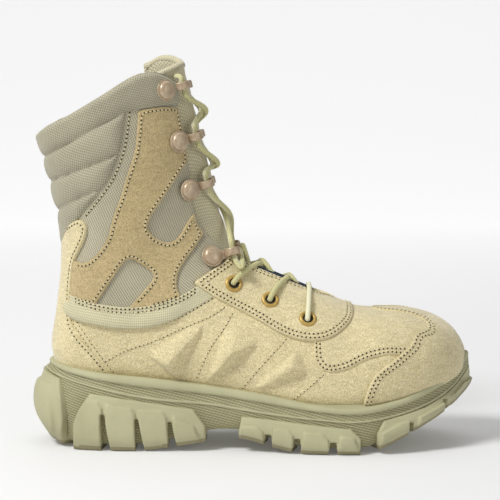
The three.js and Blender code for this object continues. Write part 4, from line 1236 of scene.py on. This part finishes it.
def makeMidsole():
    section = np.array(midsole["section"] + midsole["section"][:1])
    count = len(section) - 1

    def placeOf(t, around):
        k = around * count
        out, share = (np.interp(k, np.arange(count + 1), section[:, n]) for n in (0, 1))
        x = planPlace(t, 0 * t)[:, 0]
        atHeel, atToe = smoothStep(-x, 122, 143), smoothStep(x, 124, 147)
        out = np.where((k > 11) & (k < 18), out * (1 - atToe), out)  # the knurled recess runs out at the toe
        out = out - np.maximum(share, 0) * (midsole["heelLean"] * atHeel + midsole["toeLean"] * atToe)
        ball = smoothStep(x, 30, 60) * (1 - smoothStep(x, 85, 110))
        share = share + midsole["ballLip"] * ball * ((k > 1.5) & (k < 3.5))
        plan = planPlace(t, out)
        z = joint(plan[:, 0]) + share * (rimTop(plan[:, 0]) - joint(plan[:, 0]))
        return np.concatenate([plan, z[:, None]], axis=-1)

    def clothOf(t, around):
        k = np.rint(around * count)
        knurled = (k >= 13) & (k <= 16)
        points = placeOf(t, around)
        return np.stack([t * planLength, points[:, 2], knurled * 1.0], axis=-1)
    addPiece(makeSkin(midsole["rings"], count, placeOf, wraps=(True, True), clothOf=clothOf), "midsole_cup",
             soleRubber,
             "midsole_rubber", "midsole")


# The outsole's body below the joint, knurled at its side, with a plain bottom that closes along the middle.
outsole = {"rings": 600, "side": [(-0.9, 1.0), (-1.0, 0.75), (-1.3, 0.5), (-1.8, 0.3), (-2.6, 0.15), (-3.6, 0.05),
                                  (-5, 0.0)],
           "inward": [0.15, 0.35, 0.6, 0.8, 1.0], "spine": 105}


def makeOutsoleBody():
    side = np.array(outsole["side"])
    rows = len(side) + len(outsole["inward"]) - 1
    top = len(side) - 1

    def placeOf(t, down):
        k = np.rint(down * rows)
        out = np.interp(k, np.arange(top + 1), side[:, 0])
        share = np.interp(k, np.arange(top + 1), side[:, 1])
        plan = planPlace(t, out)
        inward = np.interp(k, np.arange(top, rows + 1), [0, *outsole["inward"]])
        spineX = np.clip(plan[:, 0], -outsole["spine"], outsole["spine"])
        spine = np.stack([spineX, np.interp(spineX, (-outsole["spine"], outsole["spine"]), (-1, 1))], axis=-1)
        plan = plan + inward[:, None] * (spine - plan)
        z = bodyBottom(plan[:, 0]) + share * (joint(plan[:, 0]) - bodyBottom(plan[:, 0]))
        return np.concatenate([plan, z[:, None]], axis=-1)

    def clothOf(t, down):
        points = placeOf(t, down)
        return np.stack([t * planLength, points[:, 2], 1.0 * (np.rint(down * rows) <= top)], axis=-1)
    bm = makeSkin(outsole["rings"], rows, placeOf, wraps=(True, False), clothOf=clothOf)
    return addPiece(bm, "outsole_body", soleRubber, "outsole_rubber", "outsole")


# Side lugs: blocks seen from the side, the slots cut into them and the raised faces below their stepped tops.
lugBlocks = [
    [(-175, 1), (-131, 1), (-129, 20), (-131.5, 48), (-175, 58)],
    [(-121, -9), (-120.5, 18), (-116, 30), (-110, 38.5), (-41, 28.3), (-33, 17.5), (-32, -9)],
    [(-10.5, -9), (-10.5, 14), (-8.5, 24), (20, 21.5), (64, 17.2), (70.5, 11), (70, -9)],
    [(83.5, -9), (82, 13.5), (86, 22.3), (100, 25.5), (115, 29.5), (130, 36.5), (141, 44.5), (146, 50), (150, 56),
     (175, 80), (175, -9)],
]
# Middle, top, half widths at the foot and the head, and how far the foot leans.
slots = [(-101.5, 25, 4.4, 1.3, 3.5), (-78.5, 22, 4.2, 1.3, 3.5), (-56.5, 20, 4.2, 1.3, 4), (9, 12.5, 4.6, 2, 0),
         (28, 10.5, 4.8, 2, 0), (52, 8.5, 4.4, 2, 0), (104.5, 20.5, 4, 1.5, -1), (129, 33.5, 3.6, 1.5, -1)]
raisedFaces = [
    [(-180, -9), (-136, -9), (-134, 22), (-138, 42), (-180, 50)],
    [(-125, -9), (-125, 18), (-112, 35), (-104, 33.6), (-101.2, 29.5), (-101.5, -9)],
    [(-101.5, -9), (-98.8, 31.8), (-82, 29.8), (-79.4, 26), (-78.5, -9)],
    [(-78.5, -9), (-77.5, 28.6), (-61, 27.4), (-58, 23.5), (-56.5, -9)],
    [(-56.5, -9), (-54, 24.5), (-40, 18), (-28, -9)],
    [(-16, -9), (-9, 18), (2, 18.4), (6, 15), (9, -9)],
    [(9, -9), (13, 17.4), (23, 16.6), (26, 13), (28, -9)],
    [(28, -9), (33, 15.8), (45, 14.8), (49, 11), (52, -9)],
    [(52, -9), (57, 13.8), (66, 12.2), (75, -9)],
    [(80, -9), (84, 15), (96, 21), (103, 22.5), (104.5, -9)],
    [(104.5, -9), (109, 24), (121, 29), (128, 32), (129, -9)],
    [(129, -9), (133, 35), (142, 41), (180, 46), (180, -9)],
]
lugProud = curveThrough([(0, -1.5), (0.22, 2.4), (0.6, 3.0), (0.95, 0.8)])
lug = {"roundOver": 1.2, "reach": 19, "step": 2.0, "heelNose": 1.1, "toeNose": -0.8, "paintedShadeTip": 3.2}


def lugPlace(t, share, depth=0, rise=0):
    along = planPlace(t, 0 * t)[:, 0]
    nose = 1 + lug["heelNose"] * smoothStep(-along, 122, 142) + lug["toeNose"] * smoothStep(along, 120, 145)
    plan = planPlace(t, lugProud(share) * nose + rise - depth)
    z = tread(plan[:, 0]) + share * (joint(plan[:, 0]) - 0.3 - tread(plan[:, 0]))
    return np.concatenate([plan, z[:, None]], axis=-1)


# Distance inside the lugs' outline, between the slots.
def lugDistance(spots):
    places = lugPlace(spots[:, 0], spots[:, 1])[:, [0, 2]]
    best = np.full(len(spots), -1e9)
    for block in lugBlocks:
        best = np.maximum(best, depthInside(places, block))
    for x, top, foot, head, lean in slots:
        slot = [(x - foot + lean, -12), (x + foot + lean, -12), (x + head, top), (x - head, top)]
        best = np.minimum(best, -depthInside(places, slot))
    return best


def makeLugs():
    bm = bmesh.new()
    bmesh.ops.create_grid(bm, x_segments=620, y_segments=34, size=0.5)
    for v in bm.verts:
        v.co.x, v.co.y = v.co.x + 0.5, 0.98 * (v.co.y + 0.5)
    trimOutside(bm, lugDistance, -3)
    for level in (lug["roundOver"], 0.3, 0.0):
        splitAt(bm, lugDistance, level)
    trimOutside(bm, lugDistance)
    dropLoose(bm)
    edges = [e for e in bm.edges if e.is_boundary and not all(min(v.co.x, 1 - v.co.x) < 1e-5 for v in e.verts)]
    walls = bmesh.ops.extrude_edge_only(bm, edges=edges)["geom"]
    for v in walls:
        if isinstance(v, bmesh.types.BMVert):
            v.co.z = -1
    splitPolygons(bm)
    coords = np.array([v.co[:] for v in bm.verts])
    t, share, inner = coords.T
    spots = coords[:, :2]
    edge = np.minimum(lugDistance(spots), lugPlace(t, share)[:, 2] - tread(lugPlace(t, share)[:, 0]))
    k = np.clip(edge / lug["roundOver"], 0, 1)
    sunk = lug["roundOver"] * (1 - np.sqrt(1 - (1 - k) ** 2))
    places = lugPlace(t, share)[:, [0, 2]]
    rise = np.zeros(len(t))
    for face in raisedFaces:
        rise = np.maximum(rise, lug["step"] * smoothStep(depthInside(places, face), -0.2, 1.0))
    points = lugPlace(t, share, np.where(inner < 0, lug["reach"], sunk), rise * (inner >= 0))
    points[:, 2] = np.where(inner < 0, np.maximum(points[:, 2], tread(points[:, 0])), points[:, 2])
    cloth = bm.verts.layers.float_vector.new("weave")
    measure = np.stack([t * planLength, points[:, 2], 0 * t], axis=-1) * mm
    place = (points + shift) * mm
    for i, v in enumerate(bm.verts):
        v.co, v[cloth] = place[i], measure[i]
    bmesh.ops.remove_doubles(bm, verts=bm.verts, dist=0.02 * mm)
    bmesh.ops.recalc_face_normals(bm, faces=bm.faces)
    piece = addPiece(bm, "outsole_lugs", soleRubber, "outsole_rubber")
    # The lowest millimetres of each lug take the darker rubber: painted shade along the lugs' foot.
    piece.data.materials.append(shadedTreadRubber)
    for p in piece.data.polygons:
        centre = p.center / mm - Vector(shift)
        p.material_index = int(centre.z < float(tread(centre.x)) + lug["paintedShadeTip"])
    piece.data.set_sharp_from_angle(angle=math.radians(40))


# Arrow-shaped tread blocks under the sole, from the ground up into the outsole's body.
chevron = {"tips": [-104, -82, -60, 20, 42, 60, 98, 116], "halfWidth": 13, "arm": 7, "sweep": 8, "height": 6}


def makeChevrons():
    bm = bmesh.new()
    for tip in chevron["tips"]:
        a, b, w = chevron["sweep"], chevron["arm"], chevron["halfWidth"]
        corners = [(0, 0), (-a, w), (-a - b, w), (-b, 0), (-a - b, -w), (-a, -w)]
        places = [(tip + x + shift[0], y + shift[1], float(tread(tip + x))) for x, y in corners]
        verts = [bm.verts.new(Vector(place) * mm) for place in places]
        face = bm.faces.new(verts)
        raised = bmesh.ops.extrude_face_region(bm, geom=[face])["geom"]
        tops = [v for v in raised if isinstance(v, bmesh.types.BMVert)]
        bmesh.ops.translate(bm, verts=tops, vec=(0, 0, chevron["height"] * mm))
    bmesh.ops.recalc_face_normals(bm, faces=bm.faces)
    edges = [e for e in bm.edges if all(v.co.z / mm < 30 for v in e.verts)]
    bmesh.ops.bevel(bm, geom=edges, offset=0.6 * mm, segments=2, profile=0.5, affect="EDGES", material=-1)
    # The blocks take the darker rubber: painted shade under the sole.
    addPiece(bm, "tread_chevrons", shadedTreadRubber, "outsole_rubber")


# Insole: a footbed that follows the sole's middle, cupped at its edge.
insole = {"heel": -118, "length": 246, "inset": 7, "lift": 9, "cup": 5, "thickness": 3}


def makeInsole():
    def placeOf(down, across):
        x = insole["heel"] + down * insole["length"]
        outer, inner = (np.interp(x, [r[0] for r in soleOutline], [r[k] for r in soleOutline]) for k in (1, 2))
        outer, inner = outer + insole["inset"], inner - insole["inset"]
        w = 2 * across - 1
        y = (outer + inner) / 2 + w * (inner - outer) / 2
        return np.stack([x, y, core(x) + insole["lift"] + insole["cup"] * np.abs(w) ** 4], axis=-1)

    def clothOf(down, across):
        return np.stack([across * 80, down * insole["length"], 0 * down], axis=-1)
    bm = makeSkin(80, 24, placeOf, wraps=(False, False), clothOf=clothOf)
    piece = addPiece(bm, "footbed", liningCloth, "lining_cloth", "insole")
    addWall(piece, insole["thickness"])


makeMidsole()
makeOutsoleBody()
makeLugs()
makeChevrons()
makeInsole()
print("sole moulded")


# Eyelets, lace loops and rivets stand on the form at x, z of each side.
eyeletPlaces = [(35.3, 86.5), (10.3, 98.7), (-14.5, 109.7)]
loopPlaces = [((-29, 128.4), 0), ((-44.5, 173.4), 0.3), ((-51.5, 205.7), 0.3), ((-60, 239.6), 0.3)]
hardwareLift = 2.2


# Matrix of the frame that stands on the form, in metres, with the spot on the form.
def standOn(place, side, lift=0):
    spot = spotsAt([place], side)
    at = formPoints(spot[:, 0], spot[:, 1])[0]
    normal = formNormals(spot[:, 0], spot[:, 1])[0]
    return standingFrame((at + lift * normal + shift) * mm, (1, 0, 0.25), normal), spot[0]


# Cast metal under a baked lacquer: soft gloss with fine orange peel, and bare rubbed spots.
def makeLacquer(name, main, worn, roughness, metallic):
    material, shader = newMaterial(name, Roughness=roughness, Metallic=metallic, Coat_Weight=0.25,
                                   Coat_Roughness=0.3)
    rubbed = addNoise(material, objectPlace(material), 3, 5.0, 0.7)
    colour = addMix(material, addRange(material, rubbed, (0.45, 0.75), (0.0, 0.7)), main, worn)
    return finishMaterial(material, shader, colour, addBump(material, rubbed, 0.3, 0.1))


loopLacquer = makeLacquer("lacqueredLoopSteel", "#AE987C", "#D2C2A6", 0.34, 0.2)
eyeletLacquer = makeLacquer("lacqueredEyeletBrass", "#B8984E", "#D0B26A", 0.4, 0.35)
eyeletHoleDark = newMaterial("eyeletBoreShadow", Base_Color=linear("#2B261D"), Roughness=1.0)[0]


def spinProfile(bm, profile, steps):
    verts = [bm.verts.new((r * mm, 0, z * mm)) for r, z in profile]
    edges = [bm.edges.new(pair) for pair in zip(verts, verts[1:])]
    bmesh.ops.spin(bm, geom=verts + edges, cent=(0, 0, 0), axis=(0, 0, 1), angle=2 * math.pi, steps=steps,
                   use_merge=True)
    bmesh.ops.remove_doubles(bm, verts=bm.verts, dist=0.01 * mm)
    bmesh.ops.recalc_face_normals(bm, faces=bm.faces)


eyelet = {"bore": 3.2, "edge": 6.1, "crown": 1.9, "foot": 3.0, "depth": -3, "floor": 4.0, "wall": 0.7}


def makeEyelet(name, matrix, node):
    bore, edge, crown, foot, depth = (eyelet[part] for part in ("bore", "edge", "crown", "foot", "depth"))
    barrel = bore + eyelet["wall"]
    bm = bmesh.new()
    turn = [(edge - (edge - bore) / 2 * (1 - math.cos(a)), foot + crown * math.sin(a))
            for a in np.linspace(0, math.pi, 9)]
    spinProfile(bm, [(barrel, depth), (barrel, foot), (edge, foot), *turn[1:], (bore, depth), (barrel, depth)], 40)
    shadow = bmesh.ops.create_circle(bm, cap_ends=True, segments=24, radius=(bore + 0.3) * mm)["verts"]
    bmesh.ops.translate(bm, verts=shadow, vec=(0, 0, eyelet["floor"] * mm))
    for face in {f for v in shadow for f in v.link_faces}:
        face.material_index = 1
    bm.transform(matrix)
    addPiece(bm, name, eyeletLacquer, "eyelet_metal", node).data.materials.append(eyeletHoleDark)


loop = {"disc": 7.3, "plate": 1.2, "neck": 3.3, "bend": 3.5, "armEnd": 8.5, "eyeStart": 6.5, "eyeLength": 8.5,
        "eyeHeight": 6.4,
        "eyeWidth": 5.2, "band": 1.3}


def makeLoop(name, matrix, dip, node):
    bm = bmesh.new()
    radius = loop["disc"] * mm
    bmesh.ops.create_cone(bm, cap_ends=True, segments=36, radius1=radius, radius2=radius, depth=loop["plate"] * mm)
    bmesh.ops.translate(bm, verts=bm.verts, vec=(0, 0, loop["plate"] / 2 * mm))
    rim = [e for e in bm.edges if len(e.link_faces) == 2 and e.calc_face_angle() > 1]
    bmesh.ops.bevel(bm, geom=rim, offset=0.35 * mm, segments=2, profile=0.5, affect="EDGES", material=-1)
    # The arm narrows a little towards the eye and is bevelled along its edges.
    arm = bmesh.new()
    bmesh.ops.create_cube(arm, size=1)
    for v in arm.verts:
        wide = loop["neck"] * (1.15 if v.co.x < 0 else 0.85)
        v.co = Vector(((v.co.x + 0.5) * loop["armEnd"] - 1.5, 2 * v.co.y * wide,
                       (v.co.z + 0.5) * loop["plate"])) * mm
    bmesh.ops.bevel(arm, geom=list(arm.edges), offset=0.3 * mm, segments=2, profile=0.5, affect="EDGES",
                    material=-1)
    # The eye: a flat band bent round the lace.
    long, high = loop["eyeLength"], loop["eyeHeight"]
    corners = [(0, 0), (long * 0.62, 0), (long, high * 0.35), (long * 0.8, high), (long * 0.25, high),
               (-0.4, high * 0.55)]
    path = smoothLine(corners, closed=True, parts=8)
    count = len(path)
    normals = np.roll(path, -1, axis=0) - np.roll(path, 1, axis=0)
    normals = np.stack([normals[:, 1], -normals[:, 0]], axis=-1) / np.linalg.norm(normals, axis=1)[:, None]

    def placeOf(down, around):
        i = np.rint(down * count).astype(int) % count
        turn = 2 * math.pi * around
        across = squareWave(np.cos(turn), 0.35) * loop["eyeWidth"] / 2
        thick = squareWave(np.sin(turn), 0.6) * loop["band"] / 2
        x, z = (path[i] + thick[:, None] * normals[i]).T
        return np.stack([x + loop["eyeStart"], across, z + 0.5], axis=-1) - shift
    eye = makeSkin(count, 20, placeOf, wraps=(True, True))
    dipped = Matrix.Translation((loop["bend"] * mm, 0, 0)) @ Matrix.Rotation(dip, 4, "Y")
    for part in (arm, eye):
        part.transform(dipped)
        joinInto(bm, part)
    bm.transform(matrix)
    bmesh.ops.recalc_face_normals(bm, faces=bm.faces)
    piece = addPiece(bm, name, loopLacquer, "loop_metal", node)
    piece.data.set_sharp_from_angle(angle=math.radians(50))


rivet = {"radius": 6.3, "height": 3.5}


def makeRivet(name, matrix, node):
    bm = bmesh.new()
    r, h = rivet["radius"], rivet["height"]
    dome = [(r * math.cos(a) ** 0.8, 0.5 + (h - 0.5) * math.sin(a)) for a in np.linspace(0, math.pi / 2 - 0.02, 10)]
    spinProfile(bm, [(0.01, 0), (r, 0), *dome, (0.01, h)], 40)
    bm.transform(matrix @ Matrix.Translation((0, 0, (loop["plate"] + 0.2) * mm)))
    addPiece(bm, name, loopLacquer, "loop_metal", node)


def makeHardware(side, word):
    spots, loops = [], []
    for i, place in enumerate(eyeletPlaces, 1):
        matrix, spot = standOn(place, side)
        makeEyelet(f"eyelet_ring_{word}_{i}", matrix, f"eyelet_{word}_{i}")
        spots.append(spot)
    for i, (place, dip) in enumerate(loopPlaces, 1):
        matrix, spot = standOn(place, side, hardwareLift)
        makeLoop(f"loop_plate_{word}_{i}", matrix, dip, f"lace_loop_{word}_{i}")
        makeRivet(f"rivet_cap_{word}_{i}", matrix, f"rivet_{word}_{i}")
        loops.append((matrix, dip))
    return {"side": side, "spots": spots, "loops": loops}


hardware = [makeHardware(-1, "lateral"), makeHardware(1, "medial")]
print("hardware fitted")

# The lace: 3.6 mm braided cord, held in the eyelets and loops along its whole run.
lace = {"radius": 1.8, "overEyelet": 6.6, "overFacing": 4.6, "inGap": -1.3, "crossingHalf": 1.7,
        "crossingMean": 2.2,
        "sides": 14, "yarn": 1.4}


# Braid: slanting yarn bundles both ways with a paler stripe along the cord, waxed slightly.
def makeBraid():
    material, shader = newMaterial("braidedPolyesterLace", Roughness=0.75, Specular_IOR_Level=0.3, Sheen_Weight=0.2)
    cloth = clothPlaceOf(material)
    lines = [addStripes(material, cloth, slant, "X", lace["yarn"]) for slant in (45, -45)]
    yarn = addMath(material, "MAXIMUM", *lines)
    across = addNode(material, "SeparateXYZ", {}, {"Vector": cloth}).outputs["X"]
    bright = addMath(material, "SINE", addMath(material, "MULTIPLY", across, 1 / (lace["radius"] * mm)))
    stripe = addRange(material, bright, (0.2, 0.9))
    colour = addScaled(material, addMix(material, stripe, "#CFCA94", "#EFEBC9"),
                       addRange(material, yarn, toRange=(0.72, 1.05)))
    return finishMaterial(material, shader, colour, addBump(material, yarn, 0.7, 0.35))


laceBraid = makeBraid()


def strand(points):
    return tube(smoothLine(points, parts=9), lace["radius"], lace["sides"])


def overForm(s, width, lift):
    s = np.array([s], float)
    return formPoints(s, angleAtWidth(s, np.abs(width), np.array([width > 0])), (lift, lift, lift))[0]


def facingRun(edge, side, spot):
    start = angleAtWidth(np.array([edge]), throatHalfWidth(np.array([edge])) - 1, np.array([side > 0]))[0]
    points = []
    for t in (0, 0.35, 0.75, 1):
        lift = lace["overFacing"] + (lace["overEyelet"] - lace["overFacing"]) * float(smoothStep(t, 0.3, 0.75))
        if t == 1:
            lift = lace["overEyelet"] - 1.6
        s, angle = edge + (spot[0] - edge) * t, start + (spot[1] - start) * t
        points.append(formPoints(np.array([s]), np.array([angle]), (lift, lift, lift))[0])
    # The end turns down into the eyelet's bore.
    points.append(formPoints(spot[:1], spot[1:], (0.5, 0.5, 0.5))[0])
    return points


def eyeMouth(loopFrame, side, way, out, rise=0):
    matrix, dip = loopFrame
    middle = Vector((loop["eyeStart"] + loop["eyeLength"] / 2, -side * way * (loop["eyeWidth"] / 2 + out),
                     loop["eyeHeight"] / 2 + 0.4 + rise))
    dipped = Matrix.Translation((loop["bend"], 0, 0)) @ Matrix.Rotation(dip, 4, "Y") @ middle
    return np.array(matrix @ (dipped * mm)) / mm - shift


# Where each strand leaves the gap, crosses over and reaches the facing, in sections; the high ones' middles x, z.
lowCrossings = [(7.4, 7.7, 7.8), (8.15, 8.6, 8.8), (9.1, 9.7, None)]
highCrossings = [(-18.5, 156), (-26.5, 190.5), (-34.5, 226.5)]


def makeLace():
    first = [facingRun(7.2, hand["side"], hand["spots"][0]) for hand in hardware]
    bar = strand([*first[0][::-1], overForm(7.2, 0, 3.9), *first[1]])
    addPiece(bar, "lace_front_bar", laceBraid, "lace_cord", "lace_bar")
    for row, (start, middle, edge) in enumerate(lowCrossings):
        bm = bmesh.new()
        for hand in hardware:
            side = hand["side"]
            gapPoint = overForm(start, -side * (throatHalfWidth(np.array([start]))[0] - 3.2), lace["inGap"])
            crossing = overForm(middle, 0, lace["crossingMean"] + side * lace["crossingHalf"])
            if edge:
                run = facingRun(edge, side, hand["spots"][row + 1])
            else:
                run = [eyeMouth(hand["loops"][0], side, -1, *reach)
                       for reach in ((10, 8.6), (6, 2.4), (2, 0), (-3, 0))]
            joinInto(bm, strand([gapPoint, crossing, *run]))
        addPiece(bm, f"lace_low_{row + 1}", laceBraid, "lace_cord", f"lace_crossing_{row + 1}")
    for row, (x, z) in enumerate(highCrossings):
        bm = bmesh.new()
        for i, hand in enumerate(hardware):
            other = hardware[1 - i]
            side = hand["side"]
            middle = np.array([x + side * lace["crossingHalf"], 0, z])
            leaving = [eyeMouth(hand["loops"][row], side, 1, *reach) for reach in ((-3,), (1,), (5, 0.5))]
            entering = [eyeMouth(other["loops"][row + 1], other["side"], -1, *reach)
                        for reach in ((5, 0.5), (1,), (-3,))]
            joinInto(bm, strand([*leaving, middle, *entering]))
        if row == 2:  # the ends leave the top loops and are tucked behind the tongue
            for hand in hardware:
                joinInto(bm, strand([eyeMouth(hand["loops"][3], hand["side"], 1, *reach)
                                     for reach in ((-4,), (0,), (3.2, -0.5), (4.4, -4))]))
        addPiece(bm, f"lace_high_{row + 1}", laceBraid, "lace_cord", f"lace_crossing_{row + 4}")


makeLace()
print("laced")


def finishStitches():
    for bm, name, paint in ((stitches, "stitch_thread", threadPaint), (holes, "needle_holes", holePaint)):
        piece = toObject(bm, name)
        piece.data.materials.append(paint)
        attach(piece, "root")


finishStitches()
